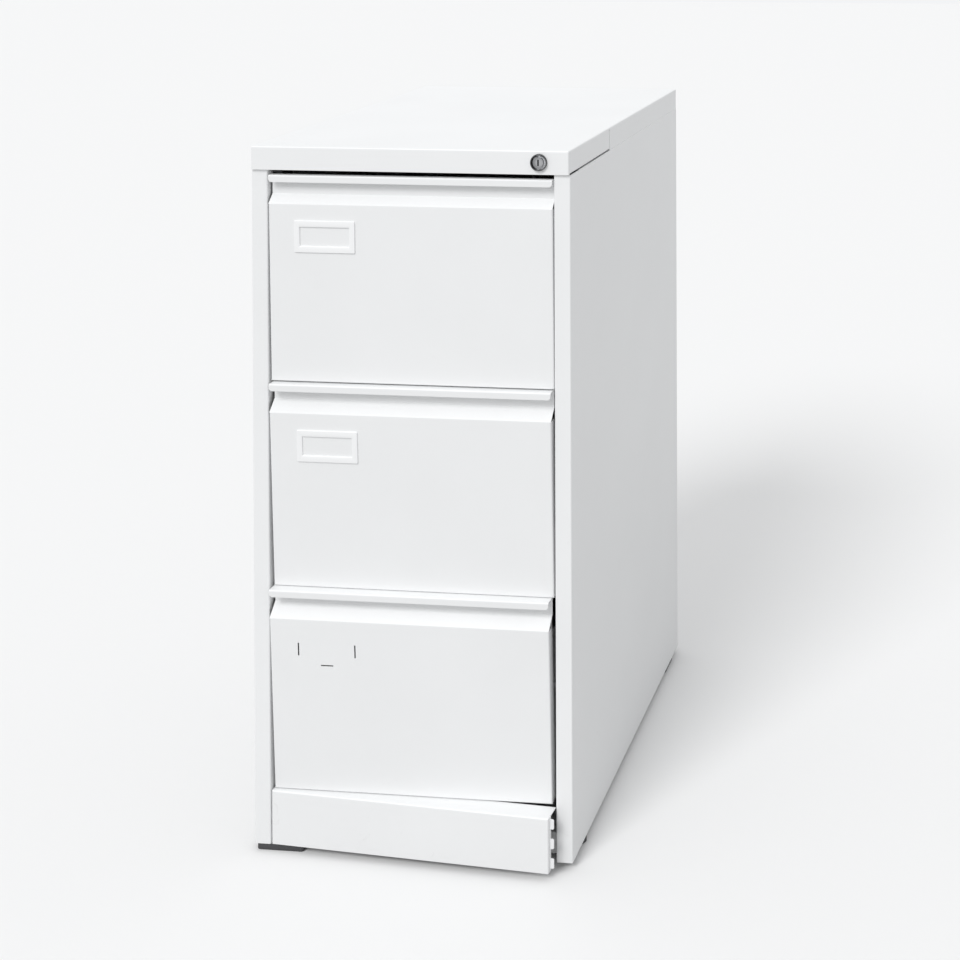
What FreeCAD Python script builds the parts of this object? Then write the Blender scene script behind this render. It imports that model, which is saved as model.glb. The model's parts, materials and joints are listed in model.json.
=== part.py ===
"""Three-drawer steel filing cabinet for hanging files, with a barrel lock and a loose plinth.

Frame: +Z up, the drawers open towards -Y, X runs left to right as seen from the front.
The origin is on the floor, under the middle of the cabinet's box.
Each length below is a Size: a number together with the sheet expression that gives it,
so that every block, sketch point and placement stays bound to the driving sizes.
"""

import FreeCAD, Part
import math
import os
import Sketcher

doc = FreeCAD.newDocument("filing_cabinet")
sheet = doc.addObject("Spreadsheet::Sheet", "sheet")

driving_sizes = [
    # Carcass
    ("width", 470.0),
    ("depth", 622.0),
    ("height", 1016.0),
    ("foot_height", 10.0),
    ("gauge", 1.0),
    ("bend", 2.0),
    ("post_width", 24.0),
    ("post_return", 15.0),
    ("back_flange", 20.0),
    ("shelf_flange", 12.0),
    # Top cover
    ("cap_height", 33.5),
    ("cap_proud", 4.0),
    ("cap_inset", 1.0),
    ("cap_seat_drop", 1.0),
    ("cap_overhang", 2.0),
    ("cap_slit_setback", 196.0),
    ("cap_slit_width", 1.2),
    ("cap_slit_stop", 4.0),
    ("cap_relief_radius", 1.2),
    ("cap_flap_gap", 1.5),
    ("cap_hem", 12.0),
    ("rail_depth", 14.0),
    # Drawers
    ("drawer_width", 414.0),
    ("drawer_base", 88.7),
    ("drawer_pitch", 295.7),
    ("front_height", 293.5),
    ("lip_height", 10.0),
    ("lip_corner", 5.0),
    ("recess_drop", 31.0),
    ("recess_setback", 10.0),
    ("front_return", 14.0),
    ("side_return", 15.0),
    ("lower_proud", 8.0),
    ("lower_sink", 5.0),
    ("centre_proud", 6.5),
    ("centre_sink", 4.5),
    ("upper_proud", 3.0),
    ("upper_sink", 2.5),
    ("lower_shift", -1.5),
    ("centre_shift", 0.6),
    ("upper_shift", 0.8),
    ("liner_margin", 3.0),
    ("tray_floor_rise", 8.0),
    ("tray_side_height", 230.0),
    ("tray_setback", 590.0),
    ("back_wall_height", 190.0),
    ("hanging_rail_inset", 6.0),
    ("hanging_rail_drop", 3.0),
    ("hanging_rail_rise", 14.0),
    # Slides and their uprights
    ("slide_room", 12.5),
    ("slide_height", 45.6),
    ("slide_gauge", 1.2),
    ("slide_length", 550.0),
    ("slide_setback", 42.0),
    ("slide_rise", 70.0),
    ("outer_flange", 9.5),
    ("middle_flange", 7.6),
    ("inner_flange", 7.5),
    ("ball_gap", 2.6),
    ("upright_inset", 0.7),
    ("upright_width", 30.0),
    ("upright_front_setback", 45.0),
    ("upright_back_setback", 540.0),
    ("upright_slot_height", 20.0),
    ("upright_slot_width", 5.0),
    ("upright_slot_pitch", 40.0),
    ("upright_slot_count", 23.0),
    ("upright_slot_margin", 12.0),
    ("rivet_radius", 2.4),
    ("rivet_head_radius", 4.0),
    ("rivet_head_height", 0.8),
    # Label holders and the slots that they hook into
    ("holder_width", 90.0),
    ("holder_height", 45.5),
    ("lower_holder_centre", 123.0),
    ("centre_holder_centre", 120.8),
    ("upper_holder_centre", 124.6),
    ("lower_holder_drop", 25.0),
    ("centre_holder_drop", 25.5),
    ("upper_holder_drop", 22.2),
    ("holder_side_band", 8.2),
    ("holder_cross_band", 9.0),
    ("holder_thickness", 2.0),
    ("holder_hook_height", 17.0),
    ("holder_hook_thickness", 1.2),
    ("holder_hook_reach", 3.0),
    ("hook_slot_height", 19.0),
    ("hook_slot_width", 2.0),
    ("hook_slot_inset", 3.0),
    ("hook_slot_drop", 10.0),
    ("foot_slot_width", 18.5),
    ("foot_slot_drop", 42.0),
    # Lock
    ("lock_offset", 191.0),
    ("lock_drop", 16.0),
    ("lock_face_radius", 12.0),
    ("lock_face_height", 5.0),
    ("lock_body_radius", 9.5),
    ("lock_body_length", 20.0),
    ("lock_nut_radius", 14.0),
    ("lock_nut_height", 5.0),
    ("plug_radius", 7.5),
    ("plug_clearance", 0.1),
    ("plug_sink", 1.2),
    ("key_slot_width", 2.2),
    ("key_slot_height", 9.0),
    ("key_slot_depth", 14.0),
    ("cam_radius", 10.5),
    ("cam_thickness", 2.0),
    ("cam_pin_offset", 8.0),
    ("cam_pin_radius", 1.5),
    ("cam_pin_play", 0.45),
    ("bar_setback", 20.5),
    ("bar_thickness", 3.0),
    ("bar_width", 14.5),
    ("bar_base", 100.0),
    ("bar_arm_height", 12.0),
    ("catch_height", 10.0),
    ("catch_reach", 7.0),
    ("catch_clearance", 2.0),
    ("hook_rise", 150.0),
    ("hook_setback", 27.0),
    ("hook_height", 12.0),
    ("hook_strap", 12.0),
    ("hook_nose", 2.0),
    ("hook_reach", 10.5),
    ("guide_pin_radius", 2.0),
    ("guide_head_radius", 4.0),
    ("guide_play", 0.3),
    ("guide_gap", 0.5),
    # Plinth
    ("plinth_width", 419.0),
    ("plinth_height", 77.0),
    ("plinth_lift", 0.5),
    ("plinth_swing", 3.7),
    ("plinth_return", 10.0),
    ("plinth_flange", 28.0),
    ("tab_setback", 5.0),
    ("tab_reach", 6.2),
    ("tab_height", 14.0),
    ("tab_pitch", 27.5),
    ("tab_base", 5.0),
    ("tab_play", 1.2),
    ("tab_swing_play", 1.8),
    # Base pan and feet
    ("pan_setback", 20.0),
    ("pan_wall", 30.0),
    ("foot_width", 70.0),
    ("foot_depth", 48.0),
    ("foot_round", 4.0),
    ("foot_side_gap", 2.4),
    ("foot_left_setback", 1.0),
    ("foot_right_setback", 61.0),
    ("foot_turn", 27.0),
    ("foot_back_setback", 536.0),
    ("foot_screw_radius", 2.5),
    ("foot_screw_inset", 27.5),
    ("foot_screw_spacing", 30.0),
    ("foot_screw_setback", 8.0),
    ("foot_screw_depth", 6.0),
]

for number, (alias, amount) in enumerate(driving_sizes, start=1):
    sheet.set(f"A{number}", str(amount))
    sheet.setAlias(f"A{number}", alias)
doc.recompute()


class Size:
    """A number and the sheet expression that gives it, kept together through sums."""

    def __init__(self, value, text):
        self.value = value
        self.text = text

    def __add__(self, other):
        return Size(self.value + number_of(other), f"({self.text} + {text_of(other)})")

    def __radd__(self, other):
        return Size(number_of(other) + self.value, f"({text_of(other)} + {self.text})")

    def __sub__(self, other):
        return Size(self.value - number_of(other), f"({self.text} - {text_of(other)})")

    def __rsub__(self, other):
        return Size(number_of(other) - self.value, f"({text_of(other)} - {self.text})")

    def __mul__(self, other):
        return Size(self.value * number_of(other), f"({self.text} * {text_of(other)})")

    def __rmul__(self, other):
        return self * other

    def __truediv__(self, other):
        return Size(self.value / number_of(other), f"({self.text} / {text_of(other)})")

    def __neg__(self):
        return Size(-self.value, f"(0 - {self.text})")


def number_of(amount):
    """The plain number of a Size or of a number."""
    return amount.value if isinstance(amount, Size) else amount


def text_of(amount):
    """The expression of a Size, or a number written out."""
    return amount.text if isinstance(amount, Size) else f"({amount})"


def size(alias):
    """The driving size with this alias."""
    return Size(float(sheet.get(alias)), f"sheet.{alias}")


def sine(angle):
    """The sine of an angle in degrees."""
    return Size(math.sin(math.radians(angle.value)), f"sin({angle.text})")


def cosine(angle):
    """The cosine of an angle in degrees."""
    return Size(math.cos(math.radians(angle.value)), f"cos({angle.text})")


def arctangent(slope):
    """The angle in degrees whose tangent is this."""
    return Size(math.degrees(math.atan(slope.value)), f"atan({slope.text})")


def bind(thing, path, amount):
    """Binds one size of an object to the sheet."""
    thing.setExpression(path, text_of(amount))


def span(sign, near, far):
    """A low and a high bound on X for a piece on the right (+1) or mirrored to the left (-1)."""
    return (near, far) if sign > 0 else (-far, -near)


def box(label, x, y, z):
    """A block between two planes on each axis; x, y and z are pairs of a low and a high bound."""
    block = doc.addObject("Part::Box", label)
    block.Label = label
    bind(block, "Length", x[1] - x[0])
    bind(block, "Width", y[1] - y[0])
    bind(block, "Height", z[1] - z[0])
    place(block, x[0], y[0], z[0])
    return block


def place(thing, x, y, z):
    """Binds where an object stands."""
    bind(thing, "Placement.Base.x", x)
    bind(thing, "Placement.Base.y", y)
    bind(thing, "Placement.Base.z", z)


turn_to = {
    "x": FreeCAD.Rotation(FreeCAD.Vector(0, 1, 0), 90),
    "y": FreeCAD.Rotation(FreeCAD.Vector(1, 0, 0), -90),
    "z": FreeCAD.Rotation(),
}


def rod(label, axis, radius, length, start):
    """A cylinder that runs from start in the positive direction of an axis."""
    cylinder = doc.addObject("Part::Cylinder", label)
    cylinder.Label = label
    bind(cylinder, "Radius", radius)
    bind(cylinder, "Height", length)
    cylinder.Placement = FreeCAD.Placement(FreeCAD.Vector(), turn_to[axis])
    place(cylinder, *start)
    return cylinder


def fuse(label, *pieces):
    """One solid made of pieces that share faces or overlap."""
    joined = doc.addObject("Part::MultiFuse", label)
    joined.Label = label
    joined.Shapes = list(pieces)
    joined.Refine = True
    return joined


def group(label, *pieces):
    """Separate solids that share one node."""
    together = doc.addObject("Part::Compound", label)
    together.Label = label
    together.Links = list(pieces)
    return together


def cut(label, base, *tools):
    """A piece with one or more tools taken out of it."""
    tool = tools[0] if len(tools) == 1 else group(f"{label}_tools", *tools)
    rest = doc.addObject("Part::Cut", label)
    rest.Label = label
    rest.Base = base
    rest.Tool = tool
    rest.Refine = True
    return rest


def edges_along(shape, axis, spots):
    """Numbers of the straight edges parallel to an axis that pass through one of the spots.

    A spot is a pair of coordinates on the two other axes, in X, Y, Z order.
    """
    along = "xyz".index(axis)
    across = [other for other in range(3) if other != along]
    found = []
    for number, edge in enumerate(shape.Edges, start=1):
        ends = [vertex.Point for vertex in edge.Vertexes]
        if len(ends) != 2 or abs(abs((ends[1] - ends[0])[along]) - edge.Length) > 1e-4:
            continue
        for spot in spots:
            miss = [abs(ends[0][across[i]] - number_of(spot[i])) for i in range(2)]
            if max(miss) < 1e-3:
                found.append(number)
    return found


def round_part(label, base, radius, choices):
    """A piece with some of its straight edges rounded; choices are pairs of an axis and spots."""
    doc.recompute()
    chosen = [number for axis, spots in choices for number in edges_along(base.Shape, axis, spots)]
    rounded = doc.addObject("Part::Fillet", label)
    rounded.Label = label
    rounded.Base = base
    amount = number_of(radius)
    rounded.Edges = [(number, amount, amount) for number in sorted(set(chosen))]
    return rounded


def round_body(body, name, radius, axis, spots):
    """Rounds straight edges of a body; spots are in the body's own coordinates."""
    doc.recompute()
    tip = body.Tip
    names = [f"Edge{number}" for number in edges_along(tip.Shape, axis, spots)]
    fillet = body.newObject("PartDesign::Fillet", name)
    fillet.Base = (tip, names)
    bind(fillet, "Radius", radius)
    return fillet


def sketch_on(body, name, role):
    """A sketch on one of the body's own origin planes."""
    plane = [feature for feature in body.Origin.OriginFeatures if feature.Role == role][0]
    sketch = body.newObject("Sketcher::SketchObject", name)
    sketch.AttachmentSupport = (plane, [""])
    sketch.MapMode = "FlatFace"
    return sketch


def draw_outline(sketch, points):
    """A closed outline whose corners are all bound to the sheet."""
    first = sketch.GeometryCount
    count = len(points)
    corners = [FreeCAD.Vector(number_of(a), number_of(b), 0) for a, b in points]
    for i in range(count):
        sketch.addGeometry(Part.LineSegment(corners[i], corners[(i + 1) % count]), False)
    for i in range(count):
        follower = first + (i + 1) % count
        sketch.addConstraint(Sketcher.Constraint("Coincident", first + i, 2, follower, 1))
    for i, corner in enumerate(points):
        for kind, amount in zip(("DistanceX", "DistanceY"), corner):
            held = Sketcher.Constraint(kind, -1, 1, first + i, 1, number_of(amount))
            index = sketch.addConstraint(held)
            sketch.setExpression(f"Constraints[{index}]", text_of(amount))


def padded_body(label, role, outlines, length, start, both_ways=False, backwards=False):
    """A body padded from closed outlines on one of its planes, and set at its start point."""
    body = doc.addObject("PartDesign::Body", label)
    body.Label = label
    sketch = sketch_on(body, f"{label}_sketch", role)
    for outline in outlines:
        draw_outline(sketch, outline)
    pad = body.newObject("PartDesign::Pad", f"{label}_pad")
    pad.Profile = sketch
    pad.Midplane = both_ways
    pad.Reversed = backwards
    bind(pad, "Length", length)
    place(body, *start)
    return body


# Planes that the pieces share

gauge = size("gauge")
bend = size("bend")
half_width = size("width") / 2
half_opening = half_width - size("post_width")
inner_wall = half_width - gauge
carcass_base = size("foot_height")
cap_top = size("height")
cap_base = cap_top - size("cap_height")
panel_top = cap_base - size("cap_seat_drop")
swing = size("plinth_swing")
swing_reach = (size("plinth_width") - bend) * sine(swing) + bend * (1 - cosine(swing))
front = (swing_reach - size("depth") + size("cap_proud")) / 2
cap_front = front - size("cap_proud")
cap_back = cap_front + size("depth")
panel_back = cap_back - size("cap_overhang")
half_cap = half_width - size("cap_inset")
sides = (("left", -1), ("right", 1))
drawers = (("lower", 0), ("centre", 1), ("upper", 2))
through = gauge * 3


def drawer_bottom(row):
    """The height of the bottom edge of a drawer front."""
    return size("drawer_base") + size("drawer_pitch") * row


def tab_centre(number):
    """The height of one of the plinth's tabs, above the plinth's own bottom edge."""
    return size("tab_base") + size("tab_height") / 2 + size("tab_pitch") * number


# Side panels


def side_panel(side, sign):
    """One bent sheet: the front post with its return, the side, and the back flange."""
    label = f"{side}_side_panel"
    depth = panel_back - front
    wall = [
        (half_opening, size("post_return")),
        (half_opening, 0),
        (half_width, 0),
        (half_width, depth),
        (half_width - size("back_flange"), depth),
        (half_width - size("back_flange"), depth - gauge),
        (half_width - gauge, depth - gauge),
        (half_width - gauge, gauge),
        (half_opening + gauge, gauge),
        (half_opening + gauge, size("post_return")),
    ]
    outline = [(sign * x, y) for x, y in wall]
    height = panel_top - carcass_base
    body = padded_body(f"{label}_sheet", "XY_Plane", [outline], height, (0, front, carcass_base))
    outer = [(sign * half_width, 0), (sign * half_opening, 0), (sign * half_width, depth)]
    inner = [
        (sign * (half_width - gauge), gauge),
        (sign * (half_opening + gauge), gauge),
        (sign * (half_width - gauge), depth - gauge),
    ]
    round_body(body, f"{label}_outer_bends", bend, "z", outer)
    round_body(body, f"{label}_inner_bends", bend - gauge, "z", inner)
    shelf = box(
        f"{label}_shelf",
        span(sign, inner_wall - size("shelf_flange"), inner_wall),
        (front + size("upright_front_setback"), panel_back - size("upright_width")),
        (panel_top - gauge, panel_top),
    )
    joined = fuse(f"{label}_joined", body, shelf)
    slots = [tab_slot(f"{label}_slot_{number}", sign, number) for number in range(3)]
    return cut(label, joined, *slots)


def tab_slot(label, sign, number):
    """A slot in the post's return that one of the plinth's tabs enters."""
    middle = carcass_base + size("plinth_lift") + tab_centre(number)
    reach = size("tab_height") / 2 + size("tab_play")
    tab_front = front + size("tab_setback")
    return box(
        label,
        span(sign, half_opening - gauge, half_opening + gauge * 2),
        (tab_front - size("tab_play"), tab_front + gauge + size("tab_swing_play")),
        (middle - reach, middle + reach),
    )


for side, sign in sides:
    side_panel(side, sign)


# Back panel

box(
    "back_panel",
    (bend - inner_wall, inner_wall - bend),
    (panel_back - gauge * 2, panel_back - gauge),
    (carcass_base + gauge, cap_top - gauge),
)


# Base pan


half_foot = size("foot_width") / 2
half_depth = size("foot_depth") / 2
foot_turn = size("foot_turn")


def foot_places():
    """Each foot's name, the middle of its footprint, and whether it has turned on its screws."""
    middle = half_width - size("foot_side_gap") - half_foot
    round_edge = size("foot_round")
    turned_reach = (half_foot - round_edge) * cosine(foot_turn)
    turned_reach += (half_depth - round_edge) * sine(foot_turn) + round_edge
    back = front + size("foot_back_setback") + half_depth
    yield "front_left", -middle, front + size("foot_left_setback") + half_depth, False
    yield "front_right", half_width - turned_reach, front + size("foot_right_setback"), True
    yield "back_left", -middle, back, False
    yield "back_right", middle, back, False


def screw_places():
    """The middle of every foot screw, with the foot that it holds."""
    for foot, x, y, turned in foot_places():
        sign = -1 if foot.endswith("left") else 1
        for step in range(2):
            inset = size("foot_screw_inset") + size("foot_screw_spacing") * step
            across = (half_foot - inset) * sign
            along = size("foot_screw_setback")
            if turned:
                turned_across = across * cosine(foot_turn) + along * sine(foot_turn)
                turned_along = along * cosine(foot_turn) - across * sine(foot_turn)
                yield foot, x + turned_across, y + turned_along
            else:
                yield foot, x + across, y + along


pan_back = panel_back - gauge * 2
pan_outside = box(
    "base_pan_outside",
    (-inner_wall, inner_wall),
    (front + size("pan_setback"), pan_back),
    (carcass_base, carcass_base + size("pan_wall")),
)
pan_inside = box(
    "base_pan_inside",
    (gauge - inner_wall, inner_wall - gauge),
    (front + size("pan_setback") + gauge, pan_back - gauge),
    (carcass_base + gauge, carcass_base + size("pan_wall") + gauge),
)
screw_radius = size("foot_screw_radius")
pan_holes = [
    rod(f"base_pan_hole_{number}", "z", screw_radius, through, (x, y, carcass_base - gauge))
    for number, (foot, x, y) in enumerate(screw_places(), start=1)
]
cut("base_pan", pan_outside, pan_inside, *pan_holes)


# Feet with blind screw holes

screw_depth = size("foot_screw_depth")


def turn_foot(thing, x, y):
    """Turns a foot clockwise about its middle, as seen from above."""
    turn = FreeCAD.Rotation(FreeCAD.Vector(0, 0, -1), foot_turn.value)
    thing.Placement = FreeCAD.Placement(FreeCAD.Vector(), turn)
    bind(thing, "Placement.Rotation.Angle", foot_turn)
    turned_x = x * cosine(foot_turn) + y * sine(foot_turn)
    turned_y = y * cosine(foot_turn) - x * sine(foot_turn)
    place(thing, x - turned_x, y - turned_y, 0)
    return thing


for foot, x, y, turned in foot_places():
    low = (x - half_foot, y - half_depth)
    high = (x + half_foot, y + half_depth)
    blank = box(f"foot_{foot}_blank", (low[0], high[0]), (low[1], high[1]), (0, carcass_base))
    corners = [(low[0], low[1]), (low[0], high[1]), (high[0], low[1]), (high[0], high[1])]
    bottom = [("x", [(low[1], 0), (high[1], 0)]), ("y", [(low[0], 0), (high[0], 0)])]
    rounded = round_part(
        f"foot_{foot}_rounded", blank, size("foot_round"), [("z", corners)] + bottom
    )
    holes = [
        rod(
            f"foot_{foot}_hole_{number}",
            "z",
            screw_radius,
            screw_depth,
            (hole_x, hole_y, carcass_base - screw_depth),
        )
        for number, (owner, hole_x, hole_y) in enumerate(screw_places(), start=1)
        if owner == foot
    ]
    if turned:
        rounded = turn_foot(group(f"foot_{foot}_turned", rounded), x, y)
    cut(f"foot_{foot}", rounded, *holes)

foot_screws = []
for number, (foot, x, y) in enumerate(screw_places(), start=1):
    shank_start = (x, y, carcass_base - screw_depth)
    shank = rod(f"foot_screw_shank_{number}", "z", screw_radius, screw_depth + gauge, shank_start)
    head_start = (x, y, carcass_base + gauge)
    head = rod(f"foot_screw_head_{number}", "z", screw_radius * 2, screw_radius, head_start)
    foot_screws.append(fuse(f"foot_screw_{number}", shank, head))
group("foot_screws", *foot_screws)


# Top cover: a shallow box with a slit in each side skirt and a hem behind the front skirt

lock_height = cap_top - size("lock_drop")
lock_place = size("lock_offset")
cover_block = box(
    "top_cover_block", (-half_cap, half_cap), (cap_front, cap_back), (cap_base, cap_top)
)
cover_corners = [(sign * half_cap, end) for side, sign in sides for end in (cap_front, cap_back)]
cover_rims = [
    ("x", [(cap_front, cap_top), (cap_back, cap_top)]),
    ("y", [(-half_cap, cap_top), (half_cap, cap_top)]),
]
cover_rounded = round_part("top_cover_rounded", cover_block, bend, [("z", cover_corners)] + cover_rims)
cover_hollow = box(
    "top_cover_hollow",
    (gauge - half_cap, half_cap - gauge),
    (cap_front + gauge, cap_back - gauge),
    (cap_base - gauge, cap_top - gauge),
)
cover_cuts = [cover_hollow]
cover_additions = []
slit_low = front + size("cap_slit_setback")
slit_high = slit_low + size("cap_slit_width")
slit_middle = (slit_low + slit_high) / 2
slit_top = cap_top - size("cap_slit_stop")
for side, sign in sides:
    skirt = span(sign, half_cap - gauge * 2, half_cap + gauge)
    slit = box(f"cover_slit_{side}", skirt, (slit_low, slit_high), (cap_base - gauge, slit_top))
    relief_start = (sign * half_cap - gauge * 2, slit_middle, slit_top)
    relief = rod(f"cover_relief_{side}", "x", size("cap_relief_radius"), gauge * 4, relief_start)
    flap = (cap_front + bend * 2, slit_middle)
    flap_gap = (cap_base - gauge, cap_base + size("cap_flap_gap"))
    cover_cuts += [slit, relief, box(f"cover_flap_gap_{side}", skirt, flap, flap_gap)]
    cover_additions.append(
        box(
            f"cover_seat_{side}",
            span(sign, half_cap - gauge, half_cap),
            (slit_high, cap_back - bend),
            (panel_top, cap_base + gauge * 2),
        )
    )
cover_cuts.append(
    rod(
        "cover_lock_hole",
        "y",
        size("lock_body_radius"),
        through,
        (lock_place, cap_front - gauge, lock_height),
    )
)
cover_shell = cut("top_cover_shell", cover_rounded, *cover_cuts)
cover_hem = box(
    "top_cover_hem",
    (bend - half_cap, half_cap - bend),
    (cap_front + gauge / 2, cap_front + size("cap_hem")),
    (cap_base, cap_base + gauge),
)
fuse("top_cover", cover_shell, cover_hem, *cover_additions)


# Stiffening rail behind the front skirt, which carries the lock

rail_front = cap_front + gauge
rail_half = half_opening + size("post_width") / 2
rail_base = cap_base + gauge * 2
rail_height = cap_top - gauge - rail_base
rail_profile = [
    (0, 0),
    (size("rail_depth"), 0),
    (size("rail_depth"), gauge),
    (gauge, gauge),
    (gauge, rail_height - gauge),
    (size("rail_depth"), rail_height - gauge),
    (size("rail_depth"), rail_height),
    (0, rail_height),
]
rail_start = (0, rail_front, rail_base)
rail_bar = padded_body(
    "top_front_rail_bar", "YZ_Plane", [rail_profile], rail_half * 2, rail_start, both_ways=True
)
rail_hole = rod(
    "top_front_rail_hole",
    "y",
    size("lock_body_radius"),
    through,
    (lock_place, rail_front - gauge, lock_height),
)
cut("top_front_rail", rail_bar, rail_hole)


# Uprights, two on each side

upright_web = half_opening + size("upright_inset")
upright_base = carcass_base + size("pan_wall")
upright_height = panel_top - gauge - upright_base


def rivet_start(sign, setback, row):
    """Where the hole of a slide's rivet starts, low on X."""
    middle = front + setback + size("upright_width") / 4
    return sign * upright_web - gauge * 2, middle, drawer_bottom(row) + size("slide_rise")


def upright(label, sign, setback):
    """A channel with a column of slots in its web."""
    width = size("upright_width")
    channel = [
        (sign * upright_web, 0),
        (sign * inner_wall, 0),
        (sign * inner_wall, gauge),
        (sign * (upright_web + gauge), gauge),
        (sign * (upright_web + gauge), width - gauge),
        (sign * inner_wall, width - gauge),
        (sign * inner_wall, width),
        (sign * upright_web, width),
    ]
    start = (0, front + setback, upright_base)
    body = padded_body(f"{label}_channel", "XY_Plane", [channel], upright_height, start)
    first_slot = upright_base + size("upright_slot_margin")
    middle = front + setback + width / 2
    half_slot = size("upright_slot_width") / 2
    slot = box(
        f"{label}_slot",
        span(sign, upright_web - gauge, upright_web + gauge * 2),
        (middle - half_slot, middle + half_slot),
        (first_slot, first_slot + size("upright_slot_height")),
    )
    slots = doc.addObject("Part::Feature", f"{label}_slots")
    slots.Label = f"{label}_slots"
    doc.recompute()
    copies = []
    for number in range(int(size("upright_slot_count").value)):
        copy = slot.Shape.copy()
        copy.translate(FreeCAD.Vector(0, 0, size("upright_slot_pitch").value * number))
        copies.append(copy)
    slots.Shape = Part.makeCompound(copies)
    holes = []
    for name, row in drawers:
        hole_start = rivet_start(sign, setback, row)
        hole_label = f"{label}_{name}_rivet_hole"
        holes.append(rod(hole_label, "x", size("rivet_radius"), gauge * 4, hole_start))
    return cut(label, body, slots, *holes)


upright_places = [
    ("front", size("upright_front_setback")),
    ("back", size("upright_back_setback")),
]
for side, sign in sides:
    for end, setback in upright_places:
        upright(f"{end}_{side}_upright", sign, setback)


# Telescopic slides: three nested channels on each side of every drawer

slide_wall = upright_web
slide_front = front + size("slide_setback")
slide_back = slide_front + size("slide_length")
slide_gauge = size("slide_gauge")
tray_half = slide_wall - size("slide_room")


def channel(label, sign, web, reach, middle, half_height):
    """A slide member: a web, and two flanges that span the bounds in reach on X."""
    height = (middle - half_height, middle + half_height)
    ends = (slide_front, slide_back)
    flanges = span(sign, *reach)
    wall = box(f"{label}_web", span(sign, *web), ends, height)
    foot = box(f"{label}_foot", flanges, ends, (height[0], height[0] + slide_gauge))
    head = box(f"{label}_head", flanges, ends, (height[1] - slide_gauge, height[1]))
    return fuse(label, wall, foot, head)


outer_half = size("slide_height") / 2
middle_half = outer_half - slide_gauge - size("ball_gap")
inner_half = middle_half - slide_gauge - size("ball_gap")
outer_web = (slide_wall - slide_gauge, slide_wall)
middle_web = (slide_wall - slide_gauge * 3, slide_wall - slide_gauge * 2)
inner_web = (tray_half, tray_half + slide_gauge)
outer_reach = (slide_wall - size("outer_flange"), slide_wall)
middle_reach = (middle_web[1] - size("middle_flange"), middle_web[1])
inner_reach = (tray_half, tray_half + size("inner_flange"))

def outer_slide(label, sign, row):
    """The member that is riveted to the uprights, with its rivet holes."""
    axis_height = drawer_bottom(row) + size("slide_rise")
    blank = channel(f"{label}_blank", sign, outer_web, outer_reach, axis_height, outer_half)
    holes = []
    for end, setback in upright_places:
        hole_start = rivet_start(sign, setback, row)
        holes.append(rod(f"{label}_hole_{end}", "x", size("rivet_radius"), gauge * 4, hole_start))
    return cut(label, blank, *holes)


def rivet(label, sign, setback, row):
    """A rivet through a slide and an upright, with its flat head inside the slide."""
    middle, height = rivet_start(sign, setback, row)[1:]
    shank = span(sign, slide_wall - slide_gauge, slide_wall + gauge)
    head_base = slide_wall - slide_gauge
    head = span(sign, head_base - size("rivet_head_height"), head_base)
    shank_length = shank[1] - shank[0]
    head_length = head[1] - head[0]
    return fuse(
        label,
        rod(f"{label}_shank", "x", size("rivet_radius"), shank_length, (shank[0], middle, height)),
        rod(f"{label}_head", "x", size("rivet_head_radius"), head_length, (head[0], middle, height)),
    )


rivets = []
for name, row in drawers:
    axis_height = drawer_bottom(row) + size("slide_rise")
    outer_pair = []
    middle_pair = []
    inner_pair = []
    for side, sign in sides:
        outer_label = f"{name}_outer_slide_{side}"
        middle_label = f"{name}_middle_slide_{side}"
        inner_label = f"{name}_inner_slide_{side}"
        outer_pair.append(outer_slide(outer_label, sign, row))
        middle_pair.append(channel(middle_label, sign, middle_web, middle_reach, axis_height, middle_half))
        inner_pair.append(channel(inner_label, sign, inner_web, inner_reach, axis_height, inner_half))
        for end, setback in upright_places:
            rivets.append(rivet(f"{outer_label}_rivet_{end}", sign, setback, row))
    group(f"{name}_outer_slides", *outer_pair)
    group(f"{name}_middle_slides", *middle_pair)
    group(f"{name}_inner_slides", *inner_pair)
group("slide_rivets", *rivets)


# Drawers

lip = size("lip_height")
recess = size("recess_setback")
face_height = size("front_height") - lip - size("recess_drop")
recess_wall = recess - gauge
diagonal = gauge * math.sqrt(2)
drawer_half = size("drawer_width") / 2


def face_lean(name):
    """How far a drawer's face comes forward for each millimetre of height."""
    return (size(f"{name}_proud") + size(f"{name}_sink")) / face_height


def face_depth(name, height):
    """The depth of a drawer's leaning face at a height above its bottom edge."""
    return size(f"{name}_sink") - face_lean(name) * height


def front_span(name, margin=0.0):
    """The left and right bounds of a drawer's front, less a margin at each side."""
    shift = size(f"{name}_shift")
    return shift - drawer_half + margin, shift + drawer_half - margin


def lean_with_face(thing, name, row):
    """Turns an upright piece about the front's bottom edge, so that it lies along the face."""
    angle = arctangent(face_lean(name))
    depth = front + size(f"{name}_sink")
    height = drawer_bottom(row)
    turned_depth = depth * cosine(angle) - height * sine(angle)
    turned_height = depth * sine(angle) + height * cosine(angle)
    turn = FreeCAD.Rotation(FreeCAD.Vector(1, 0, 0), angle.value)
    thing.Placement = FreeCAD.Placement(FreeCAD.Vector(), turn)
    bind(thing, "Placement.Rotation.Angle", angle)
    place(thing, 0, depth - turned_depth, height - turned_height)
    return thing


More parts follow.
